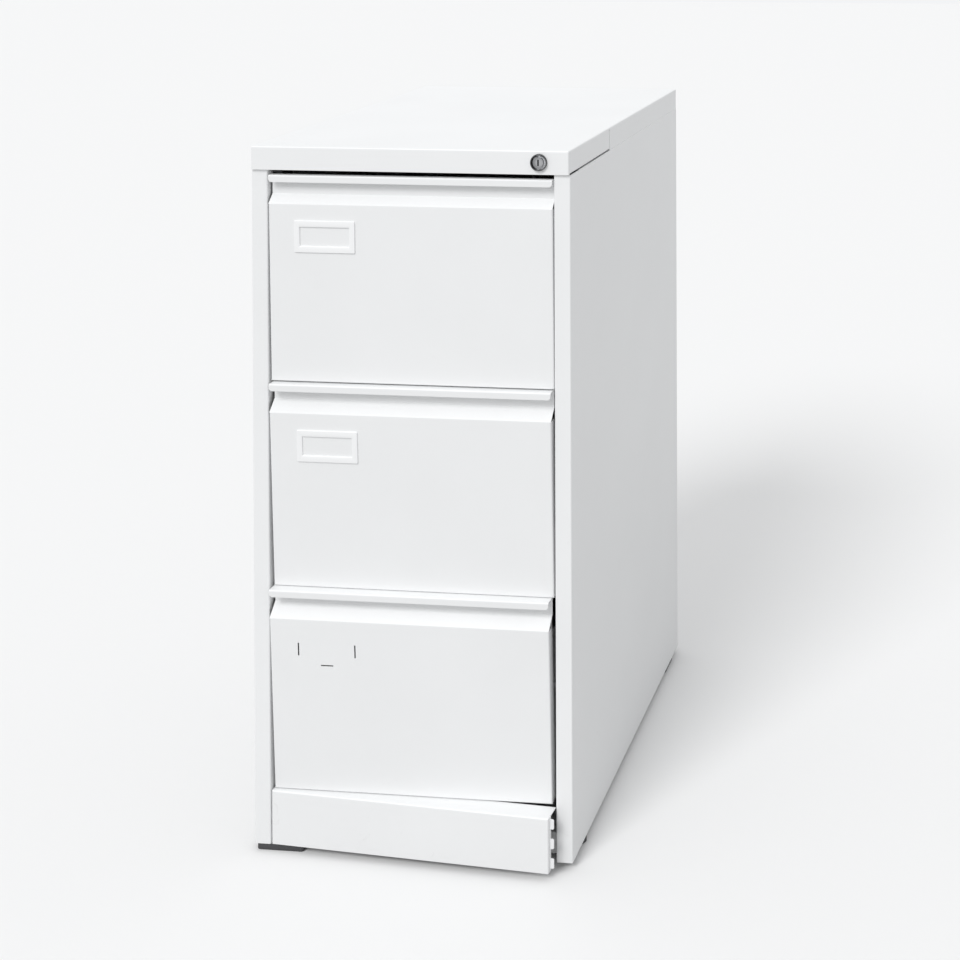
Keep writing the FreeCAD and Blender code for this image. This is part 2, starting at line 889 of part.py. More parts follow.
def drawer_front(name, row):
    """One bent sheet: leaning face, sloped finger recess, top, and the lip that is pulled."""
    label = f"{name}_drawer_front"
    top = size("front_height")
    sink = size(f"{name}_sink")
    proud = size(f"{name}_proud")
    lip_base = top - lip
    section = [
        (sink, 0),
        (-proud, face_height),
        (recess_wall, face_height + recess_wall + proud),
        (recess_wall, top - gauge),
        (face_depth(name, top - gauge) + gauge, top - gauge),
        (face_depth(name, lip_base) + gauge, lip_base),
        (face_depth(name, lip_base), lip_base),
        (face_depth(name, top), top),
        (recess, top),
        (recess, face_height + recess + proud - diagonal),
        (gauge - proud, face_height + gauge - diagonal),
        (sink + gauge, gauge),
        (size("front_return"), gauge),
        (size("front_return"), 0),
    ]
    bottom = drawer_bottom(row)
    shift = size(f"{name}_shift")
    start = (shift, front, bottom)
    body = padded_body(f"{label}_sheet", "YZ_Plane", [section], size("drawer_width"), start, True)
    convex = [section[i] for i in (0, 1, 7, 8, 9)]
    hollow = [section[i] for i in (2, 3, 4, 10, 11)]
    round_body(body, f"{label}_outer_bends", bend, "x", convex)
    round_body(body, f"{label}_inner_bends", bend - gauge, "x", hollow)
    low = bend
    high = face_height - bend
    side_outline = [
        (face_depth(name, low) + gauge / 2, low),
        (face_depth(name, low) + size("side_return"), low),
        (face_depth(name, high) + size("side_return"), high),
        (face_depth(name, high) + gauge / 2, high),
    ]
    returns = []
    for side, sign in sides:
        across = span(sign, drawer_half - gauge, drawer_half)
        side_start = (shift + across[0], front, bottom)
        side_label = f"{label}_return_{side}"
        returns.append(padded_body(side_label, "YZ_Plane", [side_outline], gauge, side_start))
    joined = fuse(f"{label}_joined", body, *returns)
    lip_corners = [(x, bottom + lip_base) for x in front_span(name)]
    rounded = round_part(f"{label}_rounded", joined, size("lip_corner"), [("y", lip_corners)])
    slots = group(f"{label}_slots", *holder_slots(label, name, row))
    return cut(label, rounded, lean_with_face(slots, name, row))


def holder_left(name):
    """The left edge of a label holder."""
    return -size(f"{name}_holder_centre") - size("holder_width") / 2


def holder_top(name, row):
    """The top edge of a label holder."""
    return drawer_bottom(row) + face_height - size(f"{name}_holder_drop")


def holder_slots(label, name, row):
    """Two upright slots and one flat slot in the front, which a label holder hooks into."""
    face = front + size(f"{name}_sink")
    depth = (face - gauge, face + gauge * 2)
    top = holder_top(name, row) - size("hook_slot_drop")
    upright_span = (top - size("hook_slot_height"), top)
    left = holder_left(name) + size("hook_slot_inset")
    right = holder_left(name) + size("holder_width") - size("hook_slot_inset")
    half_slot = size("hook_slot_width") / 2
    foot_middle = -size(f"{name}_holder_centre")
    foot_height = holder_top(name, row) - size("foot_slot_drop")
    half_foot = size("foot_slot_width") / 2
    yield box(f"{label}_slot_left", (left - half_slot, left + half_slot), depth, upright_span)
    yield box(f"{label}_slot_right", (right - half_slot, right + half_slot), depth, upright_span)
    yield box(
        f"{label}_slot_foot",
        (foot_middle - half_foot, foot_middle + half_foot),
        depth,
        (foot_height - half_slot, foot_height + half_slot),
    )


def label_holder(name, row):
    """A frame with hooks behind it that sit in the front's slots."""
    label = f"{name}_label_holder"
    wide = size("holder_width")
    tall = size("holder_height")
    side_band = size("holder_side_band")
    cross_band = size("holder_cross_band")
    outline = [(0, 0), (wide, 0), (wide, tall), (0, tall)]
    window = [
        (side_band, cross_band),
        (wide - side_band, cross_band),
        (wide - side_band, tall - cross_band),
        (side_band, tall - cross_band),
    ]
    face = front + size(f"{name}_sink")
    start = (holder_left(name), face, holder_top(name, row) - tall)
    thickness = size("holder_thickness")
    body = padded_body(f"{label}_frame", "XZ_Plane", [outline, window], thickness, start)
    half_hook = size("holder_hook_thickness") / 2
    hook_top = holder_top(name, row) - size("hook_slot_drop") - gauge
    hook_middles = {
        "left": holder_left(name) + size("hook_slot_inset"),
        "right": holder_left(name) + wide - size("hook_slot_inset"),
    }
    hooks = [
        box(
            f"{label}_hook_{end}",
            (middle - half_hook, middle + half_hook),
            (face - gauge / 2, face + size("holder_hook_reach")),
            (hook_top - size("holder_hook_height"), hook_top),
        )
        for end, middle in hook_middles.items()
    ]
    return lean_with_face(fuse(label, body, *hooks), name, row)


def liner(name, row):
    """The flat inner skin of a drawer front, with flanges towards the face."""
    label = f"{name}_drawer_liner"
    bottom = drawer_bottom(row) + size("liner_margin")
    top = drawer_bottom(row) + size("front_height") - size("liner_margin")
    low, high = front_span(name, size("liner_margin"))
    depth = (front + recess, front + recess + gauge)
    skin = box(f"{label}_skin", (low, high), depth, (bottom, top))
    flanges = [
        box(
            f"{label}_flange_{side}",
            across,
            (front + recess / 2 + gauge, front + recess),
            (bottom, drawer_bottom(row) + face_height),
        )
        for side, across in (("left", (low, low + gauge)), ("right", (high - gauge, high)))
    ]
    return fuse(label, skin, *flanges)


tray_front = front + recess + gauge
tray_back = front + size("tray_setback")


def tray(name, row):
    """The drawer's floor and two sides, folded from one sheet."""
    label = f"{name}_drawer_tray"
    rise = size("tray_side_height")
    section = [
        (-tray_half, 0),
        (tray_half, 0),
        (tray_half, rise),
        (tray_half - gauge, rise),
        (tray_half - gauge, gauge),
        (gauge - tray_half, gauge),
        (gauge - tray_half, rise),
        (-tray_half, rise),
    ]
    start = (0, tray_front, drawer_bottom(row) + size("tray_floor_rise"))
    length = tray_back - tray_front
    body = padded_body(label, "XZ_Plane", [section], length, start, backwards=True)
    inner_corners = [(gauge - tray_half, gauge), (tray_half - gauge, gauge)]
    round_body(body, f"{label}_outer_bends", bend, "y", [(-tray_half, 0), (tray_half, 0)])
    round_body(body, f"{label}_inner_bends", bend - gauge, "y", inner_corners)
    return body


def back_wall(name, row):
    """The drawer's back, with a folded top edge."""
    label = f"{name}_drawer_back"
    floor = drawer_bottom(row) + size("tray_floor_rise") + gauge
    top = floor + size("back_wall_height")
    half = tray_half - gauge
    depth = (tray_back - gauge, tray_back)
    wall = box(f"{label}_wall", (bend - half, half - bend), depth, (floor, top))
    fold = box(
        f"{label}_fold",
        (-half, half),
        (tray_back - size("shelf_flange"), tray_back),
        (top - gauge, top),
    )
    return fuse(label, wall, fold)


def hanging_rails(name, row):
    """Two strips on top of the drawer's sides, from which the files hang."""
    rim = drawer_bottom(row) + size("tray_floor_rise") + size("tray_side_height")
    near = tray_half - gauge - size("hanging_rail_inset")
    ends = (tray_front + bend, tray_back - size("shelf_flange") - bend)
    low = rim - size("hanging_rail_drop")
    rails = []
    for side, sign in sides:
        label = f"{name}_hanging_rail_{side}"
        ledge = box(f"{label}_ledge", span(sign, near, tray_half - gauge), ends, (low, low + gauge))
        blade_height = (low, low + size("hanging_rail_rise"))
        blade = box(f"{label}_blade", span(sign, near, near + gauge), ends, blade_height)
        rails.append(fuse(label, ledge, blade))
    return group(f"{name}_hanging_rails", *rails)


def latch_hook(name, row):
    """A bracket on the right of the tray that the lock bar's catch stops."""
    label = f"{name}_latch_hook"
    bottom = drawer_bottom(row) + size("hook_rise")
    height = (bottom, bottom + size("hook_height"))
    low = front + size("hook_setback")
    strap_depth = (low, low + size("hook_strap"))
    nose_depth = (low, low + size("hook_nose"))
    strap = box(f"{label}_strap", (tray_half, tray_half + gauge), strap_depth, height)
    nose = box(f"{label}_nose", (tray_half, tray_half + size("hook_reach")), nose_depth, height)
    return fuse(label, strap, nose)


for name, row in drawers:
    drawer_front(name, row)
    liner(name, row)
    tray(name, row)
    back_wall(name, row)
    hanging_rails(name, row)
    latch_hook(name, row)
for name, row in drawers[1:]:
    label_holder(name, row)


# Lock: a barrel and a nut on the rail, and a plug with a cam and a pin

lock_axis_start = (lock_place, cap_front, lock_height)
barrel_length = size("lock_body_length")
face_length = size("lock_face_height")
face_start = cap_front - face_length
barrel_face = rod(
    "lock_barrel_face",
    "y",
    size("lock_face_radius"),
    face_length,
    (lock_place, face_start, lock_height),
)
barrel_body = rod(
    "lock_barrel_body", "y", size("lock_body_radius"), barrel_length, lock_axis_start
)
barrel_blank = fuse("lock_barrel_blank", barrel_face, barrel_body)
doc.recompute()
rim = [
    number
    for number, edge in enumerate(barrel_blank.Shape.Edges, start=1)
    if edge.isClosed() and abs(edge.BoundBox.YMax - face_start.value) < 1e-4
]
barrel_rounded = doc.addObject("Part::Fillet", "lock_barrel_rounded")
barrel_rounded.Label = "lock_barrel_rounded"
barrel_rounded.Base = barrel_blank
barrel_rounded.Edges = [(number, bend.value, bend.value) for number in rim]
barrel_bore = rod(
    "lock_barrel_bore",
    "y",
    size("plug_radius") + size("plug_clearance"),
    face_length + barrel_length + gauge * 2,
    (lock_place, face_start - gauge, lock_height),
)
cut("lock_barrel", barrel_rounded, barrel_bore)

nut_start = rail_front + gauge
nut_height = size("lock_nut_height")
nut_blank = rod(
    "lock_nut_blank", "y", size("lock_nut_radius"), nut_height, (lock_place, nut_start, lock_height)
)
nut_bore = rod(
    "lock_nut_bore",
    "y",
    size("lock_body_radius"),
    nut_height + gauge * 2,
    (lock_place, nut_start - gauge, lock_height),
)
cut("lock_nut", nut_blank, nut_bore)

plug_start = face_start + size("plug_sink")
cam_start = cap_front + barrel_length + gauge / 2
bar_front = front + size("bar_setback")
bar_back = bar_front + size("bar_thickness")
half_turn = Size(45.0, "45")
pin_x = lock_place + size("cam_pin_offset") * cosine(half_turn)
pin_z = lock_height - size("cam_pin_offset") * sine(half_turn)
plug_body = rod(
    "plug_body", "y", size("plug_radius"), cam_start - plug_start, (lock_place, plug_start, lock_height)
)
plug_cam = rod(
    "plug_cam", "y", size("cam_radius"), size("cam_thickness"), (lock_place, cam_start, lock_height)
)
plug_pin = rod(
    "plug_pin", "y", size("cam_pin_radius"), bar_back + gauge - cam_start, (pin_x, cam_start, pin_z)
)
half_key = size("key_slot_height") / 2
key_slot = box(
    "plug_key_slot",
    (lock_place - size("key_slot_width") / 2, lock_place + size("key_slot_width") / 2),
    (plug_start - gauge, plug_start + size("key_slot_depth")),
    (lock_height - half_key, lock_height + half_key),
)
cut("lock_plug", fuse("lock_plug_blank", plug_body, plug_cam, plug_pin), key_slot)


# The lock bar: a strip behind the right post, an arm that reaches to the lock, and three catches

lift = size("cam_pin_offset") * 2 * sine(half_turn)
strip_low = upright_web + gauge * 2
strip_high = strip_low + size("bar_width")
arm_low = pin_z - size("bar_arm_height") / 2
arm_high = pin_z + size("bar_arm_height") / 2
arm_end = lock_place - size("cam_pin_offset")
guide_x = (strip_low + strip_high) / 2
guide_half = size("guide_pin_radius") + size("guide_play")


def guide_height(row):
    """The height of a guide pin, between two catches."""
    return drawer_bottom(row) + size("hook_rise") + size("slide_rise")


def rectangle(x, z):
    """The corners of a rectangle between two bounds on each axis."""
    return [(x[0], z[0]), (x[1], z[0]), (x[1], z[1]), (x[0], z[1])]


guide_slots = [
    rectangle(
        (guide_x - guide_half, guide_x + guide_half),
        (guide_height(row) - lift - guide_half, guide_height(row) + guide_half),
    )
    for name, row in drawers
]
strip = rectangle((strip_low, strip_high), (size("bar_base"), arm_high))
bar_thickness = size("bar_thickness")
bar_start = (0, bar_front, 0)
padded_body("lock_bar", "XZ_Plane", [strip] + guide_slots, bar_thickness, bar_start, backwards=True)

slot_half = size("cam_pin_radius") + size("cam_pin_play")
slot_reach = (pin_x - slot_half, lock_place + size("cam_pin_offset") + slot_half)
arm = rectangle((arm_end, strip_low), (arm_low, arm_high))
pin_slot = rectangle(slot_reach, (pin_z - slot_half, pin_z + slot_half))
padded_body("lock_arm", "XZ_Plane", [arm, pin_slot], bar_thickness, bar_start, backwards=True)

catches = []
for name, row in drawers:
    catch_top = drawer_bottom(row) + size("hook_rise") - size("catch_clearance")
    catches.append(
        box(
            f"lock_catch_{name}",
            (strip_low - size("catch_reach"), strip_low),
            (bar_front, bar_back),
            (catch_top - size("catch_height"), catch_top),
        )
    )
group("lock_catches", *catches)

guides = []
head_radius = size("guide_head_radius")
plate_front = bar_back + size("guide_gap")
head_front = bar_front - size("guide_gap") - gauge
for name, row in drawers:
    middle = guide_height(row)
    start = (guide_x, head_front, middle)
    plate = box(
        f"bar_guide_plate_{name}",
        (guide_x - head_radius, inner_wall),
        (plate_front, plate_front + gauge),
        (middle - head_radius * 2, middle + head_radius * 2),
    )
    pin = rod(f"bar_guide_pin_{name}", "y", size("guide_pin_radius"), plate_front - head_front, start)
    head = rod(f"bar_guide_head_{name}", "y", head_radius, gauge, start)
    guides.append(fuse(f"bar_guide_{name}", plate, pin, head))
group("bar_guides", *guides)


# Plinth: a shallow tray on edge, swung out about its left end, with tabs bent out at both ends

wide = size("plinth_width")
tall = size("plinth_height")
flange = size("plinth_flange")
tab_reach = size("tab_reach")
half_tab = size("tab_height") / 2
plinth_block = box("plinth_block", (0, wide), (0, flange), (0, tall))
plinth_bends = [("z", [(0, 0), (wide, 0)]), ("x", [(0, tall)])]
plinth_rounded = round_part("plinth_rounded", plinth_block, bend, plinth_bends)
plinth_hollow = box(
    "plinth_hollow", (gauge, wide - gauge), (gauge, flange + gauge), (-gauge, tall - gauge)
)
plinth_open_back = box(
    "plinth_open_back",
    (-gauge, wide + gauge),
    (size("plinth_return"), flange + gauge),
    (-gauge, tall - gauge),
)
plinth_shell = cut("plinth_shell", plinth_rounded, plinth_hollow, plinth_open_back)
tabs = []
tab_corners = []
for number in range(3):
    tab_span = (tab_centre(number) - half_tab, tab_centre(number) + half_tab)
    tab_depth = (size("tab_setback"), size("tab_setback") + gauge)
    tabs.append(box(f"plinth_tab_right_{number}", (wide - gauge / 2, wide + tab_reach), tab_depth, tab_span))
    tabs.append(box(f"plinth_tab_left_{number}", (-tab_reach, gauge / 2), tab_depth, tab_span))
    tab_corners += [(end, edge) for end in (-tab_reach, wide + tab_reach) for edge in tab_span]
plinth_joined = fuse("plinth_joined", plinth_shell, *tabs)
plinth = round_part("plinth_panel", plinth_joined, bend, [("y", tab_corners)])
plinth.Placement = FreeCAD.Placement(FreeCAD.Vector(), FreeCAD.Rotation(FreeCAD.Vector(0, 0, 1), 0))
bind(plinth, "Placement.Rotation.Angle", -swing)
place(plinth, wide / -2, front, carcass_base + size("plinth_lift"))


# The pieces that are written, one file each

nodes = [f"{side}_side_panel" for side, sign in sides]
nodes += ["back_panel", "base_pan", "top_cover", "top_front_rail"]
nodes += [f"{end}_{side}_upright" for side, sign in sides for end, setback in upright_places]
nodes += [f"foot_{foot}" for foot, x, y, turned in foot_places()]
nodes += ["foot_screws", "slide_rivets", "bar_guides", "lock_barrel", "lock_nut", "lock_plug"]
nodes += ["lock_bar", "lock_arm", "lock_catches", "plinth_panel"]
for name, row in drawers:
    nodes += [f"{name}_{kind}_slides" for kind in ("outer", "middle", "inner")]
    nodes += [f"{name}_drawer_{kind}" for kind in ("front", "liner", "tray", "back")]
    nodes += [f"{name}_hanging_rails", f"{name}_latch_hook"]
nodes += ["centre_label_holder", "upper_label_holder"]

doc.recompute()
for thing in doc.Objects:
    failed = [state for state in thing.State if state in ("Invalid", "Error")]
    if failed:
        raise RuntimeError(f"{thing.Label} did not compute: {failed}")

os.makedirs("parts", exist_ok=True)
whole = FreeCAD.BoundBox()
for node in nodes:
    found = doc.getObjectsByLabel(node)
    shape = found[0].Shape
    if len(found) != 1 or shape.isNull() or not shape.isValid() or not shape.Solids:
        raise RuntimeError(f"{node} has no valid solid")
    shape.exportStep(f"parts/{node}.step")
    whole.add(shape.optimalBoundingBox())
    print(f"{node:26s} solids {len(shape.Solids):2d}  volume {shape.Volume / 1000:9.2f} cm3")
print("nodes", len(nodes))
print("box low", [round(whole.XMin, 3), round(whole.YMin, 3), round(whole.ZMin, 3)])
print("box high", [round(whole.XMax, 3), round(whole.YMax, 3), round(whole.ZMax, 3)])
print("front plane", round(front.value, 4), "lock lift", round(lift.value, 3))
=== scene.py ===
# %% [markdown]
# # A steel filing cabinet in white powder coat
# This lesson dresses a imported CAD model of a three-drawer filing cabinet in Blender. The model
# gives every dimension and every joint. The lesson adds what the eye notices in a real one: sheet
# metal that turns its corners in small round bends, paint with a fine orange peel, a chrome lock,
# dull zinc runners, and moulded plastic feet. The frame is loaded first, because every new piece
# takes its place from it.

# %% Load the frame
import bpy
import json
import math
import numpy as np
from mathutils import Matrix, Vector


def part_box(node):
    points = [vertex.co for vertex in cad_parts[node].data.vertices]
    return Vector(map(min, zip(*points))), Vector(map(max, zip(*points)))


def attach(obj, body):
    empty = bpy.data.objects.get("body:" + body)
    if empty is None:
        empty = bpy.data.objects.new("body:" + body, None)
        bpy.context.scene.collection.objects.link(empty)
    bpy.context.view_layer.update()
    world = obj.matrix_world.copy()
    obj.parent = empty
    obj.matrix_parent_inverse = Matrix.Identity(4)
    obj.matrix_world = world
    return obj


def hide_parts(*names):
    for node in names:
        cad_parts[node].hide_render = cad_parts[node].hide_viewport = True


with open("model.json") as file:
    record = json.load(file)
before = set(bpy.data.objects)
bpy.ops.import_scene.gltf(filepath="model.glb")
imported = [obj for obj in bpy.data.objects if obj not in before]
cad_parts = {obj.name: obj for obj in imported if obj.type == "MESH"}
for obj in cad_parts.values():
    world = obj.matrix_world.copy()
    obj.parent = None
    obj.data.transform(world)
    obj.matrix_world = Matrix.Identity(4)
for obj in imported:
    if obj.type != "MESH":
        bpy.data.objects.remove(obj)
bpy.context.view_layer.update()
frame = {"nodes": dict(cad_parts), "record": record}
mm = 0.001

# %% [markdown]
# ## The camera
# A real photograph has a place, a direction, a focal length, and sometimes a crop that is off the
# middle of the lens. The crop is the camera's shift here. It could be avoided by aiming the camera
# at the cabinet, but then the upright edges would lean together, and in this photograph they stay
# nearly upright. So the camera looks almost level from eye height, and the shift moves the frame
# down to the cabinet.

# %% The camera
image_width = 960
focal_pixels = 1539.8
principal_point = (894.8, -114.4)
eye = Vector((905.3, -2397.3, 1407.0)) * mm
yaw = math.radians(5.753)
pitch = math.radians(0.510)
roll = math.radians(-0.096)

lens = bpy.data.cameras.new("camera")
lens.sensor_width = 36.0
lens.lens = focal_pixels * lens.sensor_width / image_width
lens.shift_x = (image_width / 2 - principal_point[0]) / image_width
lens.shift_y = (principal_point[1] - image_width / 2) / image_width
lens.clip_start = 0.05
lens.clip_end = 60.0

ahead = Vector((-math.sin(yaw) * math.cos(pitch), math.cos(yaw) * math.cos(pitch), -math.sin(pitch)))
level_right = Vector((math.cos(yaw), math.sin(yaw), 0.0))
level_up = level_right.cross(ahead)
right = math.cos(roll) * level_right + math.sin(roll) * level_up
up = right.cross(ahead)
camera = bpy.data.objects.new("camera", lens)
camera.matrix_world = Matrix.Translation(eye) @ Matrix((right, up, -ahead)).transposed().to_4x4()
bpy.context.scene.collection.objects.link(camera)
bpy.context.scene.camera = camera
print("focal length", round(lens.lens, 1), "shift", round(lens.shift_x, 3), round(lens.shift_y, 3))

# %% [markdown]
# ## Helpers for materials
# Every finish below is a small tree of nodes. An effect that several finishes share, such as the
# texture of the paint, is a node group: it is built once, has named inputs, and each material
# gives it its own values. A group only gives out colours, values and heights. The shader itself
# stays in the material, where an exporter can find it.

# %% Helpers for node trees


def add_node(tree, kind, **settings):
    """A node of this kind. Settings whose name is an input's name go to that input."""
    node = tree.nodes.new(kind)
    for name, value in settings.items():
        if hasattr(node, name):
            setattr(node, name, value)
        else:
            node.inputs[name.replace("_", " ")].default_value = value
    return node


def new_group(name, inputs, outputs):
    """A node group with named sockets, and its two end nodes."""
    tree = bpy.data.node_groups.new(name, "ShaderNodeTree")
    for label, kind, start in inputs:
        socket = tree.interface.new_socket(label, in_out="INPUT", socket_type=kind)
        if start is not None:
            socket.default_value = start
    for label, kind in outputs:
        tree.interface.new_socket(label, in_out="OUTPUT", socket_type=kind)
    return tree, tree.nodes.new("NodeGroupInput"), tree.nodes.new("NodeGroupOutput")


def maths(tree, operation, first, second):
    """A Math node; each side is a number or a socket."""
    node = add_node(tree, "ShaderNodeMath", operation=operation)
    for i, side in enumerate((first, second)):
        if isinstance(side, (int, float)):
            node.inputs[i].default_value = side
        else:
            tree.links.new(side, node.inputs[i])
    return node.outputs[0]


def new_material(name):
    """A material with its Principled shader and a Texture Coordinate node, ready to be linked."""
    material = bpy.data.materials.new(name)
    material.use_nodes = True
    tree = material.node_tree
    shader = tree.nodes["Principled BSDF"]
    place = tree.nodes.new("ShaderNodeTexCoord")
    return material, tree, shader, place.outputs["Object"]


print("helpers ready")

# %% [markdown]
# ## Powder coat
# The cabinet is painted with white powder that is baked on. It dries with a fine orange peel, with
# dimples about a millimetre and a half apart, and its tone drifts a little from place to place.
# This one has been used: there are faint grey rubs, more of them near the floor. A picture could
# hold all of that, but noise made from the object's own coordinates has no seams and stays sharp at
# any distance. The group below mixes three sizes of noise: large for the tone, middle for the rubs,
# small for the peel.

# %% The paint group
paint_group, paint_in, paint_out = new_group(
    "powder_coat",
    [
        ("Position", "NodeSocketVector", None),
        ("Paint", "NodeSocketColor", (0.8, 0.8, 0.8, 1.0)),
        ("Rubbed", "NodeSocketColor", (0.45, 0.44, 0.42, 1.0)),
        ("Rubs", "NodeSocketFloat", 0.25),
        ("Peel Scale", "NodeSocketFloat", 650.0),
        ("Gloss Drift", "NodeSocketFloat", 0.06),
    ],
    [("Color", "NodeSocketColor"), ("Roughness", "NodeSocketFloat"), ("Height", "NodeSocketFloat")],
)


def noise(tree, position, scale, detail, roughness=0.5, distortion=0.0):
    """A noise texture's value at a position."""
    node = add_node(tree, "ShaderNodeTexNoise", Detail=detail, Roughness=roughness)
    node.inputs["Distortion"].default_value = distortion
    if isinstance(scale, (int, float)):
        node.inputs["Scale"].default_value = scale
    else:
        tree.links.new(scale, node.inputs["Scale"])
    tree.links.new(position, node.inputs["Vector"])
    return node.outputs["Fac"]


def spread(tree, value, low, high, start=0.0, end=1.0):
    """A value carried from one range to another and held inside it."""
    node = add_node(tree, "ShaderNodeMapRange", clamp=True)
    for name, amount in (("From Min", low), ("From Max", high), ("To Min", start), ("To Max", end)):
        node.inputs[name].default_value = amount
    tree.links.new(value, node.inputs["Value"])
    return node.outputs["Result"]


def mixed_color(tree, factor, first, second):
    """A colour between two colours; each may be a socket or four numbers."""
    node = add_node(tree, "ShaderNodeMix", data_type="RGBA")
    for socket, side in ((node.inputs[0], factor), (node.inputs[6], first), (node.inputs[7], second)):
        if isinstance(side, (tuple, float, int)):
            socket.default_value = side
        else:
            tree.links.new(side, socket)
    return node.outputs[2]


drift_scale = 5.0
rub_scale = 34.0
rub_detail = 7.0
rub_coarseness = 0.7
rub_distortion = 1.2
rub_threshold = (0.63, 0.80)
worn_height = 0.35
share_above = 0.35
paint_position = paint_in.outputs["Position"]
drift = noise(paint_group, paint_position, drift_scale, detail=3.0)
rub_noise = noise(paint_group, paint_position, rub_scale, rub_detail, rub_coarseness, rub_distortion)
rub_streaks = spread(paint_group, rub_noise, *rub_threshold)
height_axis = paint_group.nodes.new("ShaderNodeSeparateXYZ")
paint_group.links.new(paint_position, height_axis.inputs[0])
near_floor = spread(paint_group, height_axis.outputs["Z"], 0.0, worn_height, 1.0, share_above)
rub_amount = maths(paint_group, "MULTIPLY", rub_streaks, paint_in.outputs["Rubs"])
rub_mask = maths(paint_group, "MULTIPLY", rub_amount, near_floor)
peel = noise(paint_group, paint_position, paint_in.outputs["Peel Scale"], detail=1.0)

darkest, lightest = 0.985, 1.012
lowest_roughness = 0.38
toned = paint_group.nodes.new("ShaderNodeHueSaturation")
paint_group.links.new(paint_in.outputs["Paint"], toned.inputs["Color"])
tone = spread(paint_group, drift, 0.3, 0.7, darkest, lightest)
paint_group.links.new(tone, toned.inputs["Value"])
painted = mixed_color(paint_group, rub_mask, toned.outputs["Color"], paint_in.outputs["Rubbed"])
paint_group.links.new(painted, paint_out.inputs["Color"])
gloss_step = maths(paint_group, "MULTIPLY", drift, paint_in.outputs["Gloss Drift"])
gloss_sum = maths(paint_group, "ADD", gloss_step, lowest_roughness)
paint_group.links.new(gloss_sum, paint_out.inputs["Roughness"])
paint_group.links.new(peel, paint_out.inputs["Height"])
print("paint group with", len(paint_group.nodes), "nodes")

# %% A material from a group


def material_from(group, name, values, bump_strength, bump_depth):
    """A material whose colour, roughness and bumps come from a group. The depth is in metres."""
    material, tree, shader, position = new_material(name)
    effect = add_node(tree, "ShaderNodeGroup", node_tree=group)
    for label, value in values.items():
        effect.inputs[label].default_value = value
    tree.links.new(position, effect.inputs["Position"])
    bump = add_node(tree, "ShaderNodeBump", Strength=bump_strength, Distance=bump_depth)
    tree.links.new(effect.outputs["Height"], bump.inputs["Height"])
    tree.links.new(effect.outputs["Color"], shader.inputs["Base Color"])
    tree.links.new(effect.outputs["Roughness"], shader.inputs["Roughness"])
    tree.links.new(bump.outputs["Normal"], shader.inputs["Normal"])
    return material


print("a group can now become a material")

# %% The painted materials
peel_strength = 0.6
peel_depth = 0.00003


def painted_metal(name, color, rubs):
    """Baked powder coat in one colour, with more or fewer rubs."""
    values = {"Paint": (*color, 1.0), "Rubs": rubs}
    return material_from(paint_group, name, values, peel_strength, peel_depth)


cabinet_white = (0.86, 0.866, 0.870)
drawer_white = (0.80, 0.806, 0.810)
carcass_paint = painted_metal("carcass_paint", cabinet_white, 0.22)
cover_paint = painted_metal("cover_paint", cabinet_white, 0.12)
front_paint = painted_metal("front_paint", cabinet_white, 0.10)
plinth_paint = painted_metal("plinth_paint", cabinet_white, 0.30)
drawer_paint = painted_metal("drawer_paint", drawer_white, 0.15)
painted = (carcass_paint, cover_paint, front_paint, plinth_paint, drawer_paint)
print("painted", [material.name for material in painted])

# %% [markdown]
# ## Zinc, chrome and plastic
# The runners and the lock bar are zinc plated: grey, with a grain drawn along the strip by the
# rolling mill and a cloudy tone. The lock is polished chrome with hairline scratches from the key.
# The hollow ring in its face and the plug carry painted reflection and shade in their grey: dark,
# mostly on the left, and brighter on the right. The feet and the label frames are moulded plastic,
# one black and matt, one white and smoother. A grain that runs along a strip is the same noise as
# before, squeezed in the two other directions.

# %% The metal grain group
grain_group, grain_in, grain_out = new_group(
    "metal_grain",
    [
        ("Position", "NodeSocketVector", None),
        ("Light", "NodeSocketColor", (0.7, 0.7, 0.7, 1.0)),
        ("Dark", "NodeSocketColor", (0.5, 0.5, 0.5, 1.0)),
        ("Lowest Roughness", "NodeSocketFloat", 0.25),
        ("Roughness Spread", "NodeSocketFloat", 0.2),
    ],
    [("Color", "NodeSocketColor"), ("Roughness", "NodeSocketFloat"), ("Height", "NodeSocketFloat")],
)
along_the_strip = 0.03
hairline_scale = 2600.0
cloud_scale = 60.0
grain_position = grain_in.outputs["Position"]
stretch = add_node(grain_group, "ShaderNodeMapping")
stretch.inputs["Scale"].default_value = (1.0, along_the_strip, 1.0)
grain_group.links.new(grain_position, stretch.inputs["Vector"])
hairlines = noise(grain_group, stretch.outputs["Vector"], hairline_scale, detail=3.0)
clouds = noise(grain_group, grain_position, cloud_scale, detail=4.0)
blotches = spread(grain_group, clouds, 0.3, 0.7)
metal_tone = mixed_color(grain_group, blotches, grain_in.outputs["Dark"], grain_in.outputs["Light"])
grain_group.links.new(metal_tone, grain_out.inputs["Color"])
rough_step = maths(grain_group, "MULTIPLY", hairlines, grain_in.outputs["Roughness Spread"])
rough_sum = maths(grain_group, "ADD", rough_step, grain_in.outputs["Lowest Roughness"])
grain_group.links.new(rough_sum, grain_out.inputs["Roughness"])
grain_group.links.new(hairlines, grain_out.inputs["Height"])
print("grain group with", len(grain_group.nodes), "nodes")

# %% The metals
hairline_strength = 0.4


def plated_metal(name, light, dark, roughness, roughness_spread, depth):
    """Plated steel between two tones, with hairlines of a given depth in metres."""
    values = {
        "Light": (*light, 1.0),
        "Dark": (*dark, 1.0),
        "Lowest Roughness": roughness,
        "Roughness Spread": roughness_spread,
    }
    material = material_from(grain_group, name, values, hairline_strength, depth)
    material.node_tree.nodes["Principled BSDF"].inputs["Metallic"].default_value = 1.0
    return material


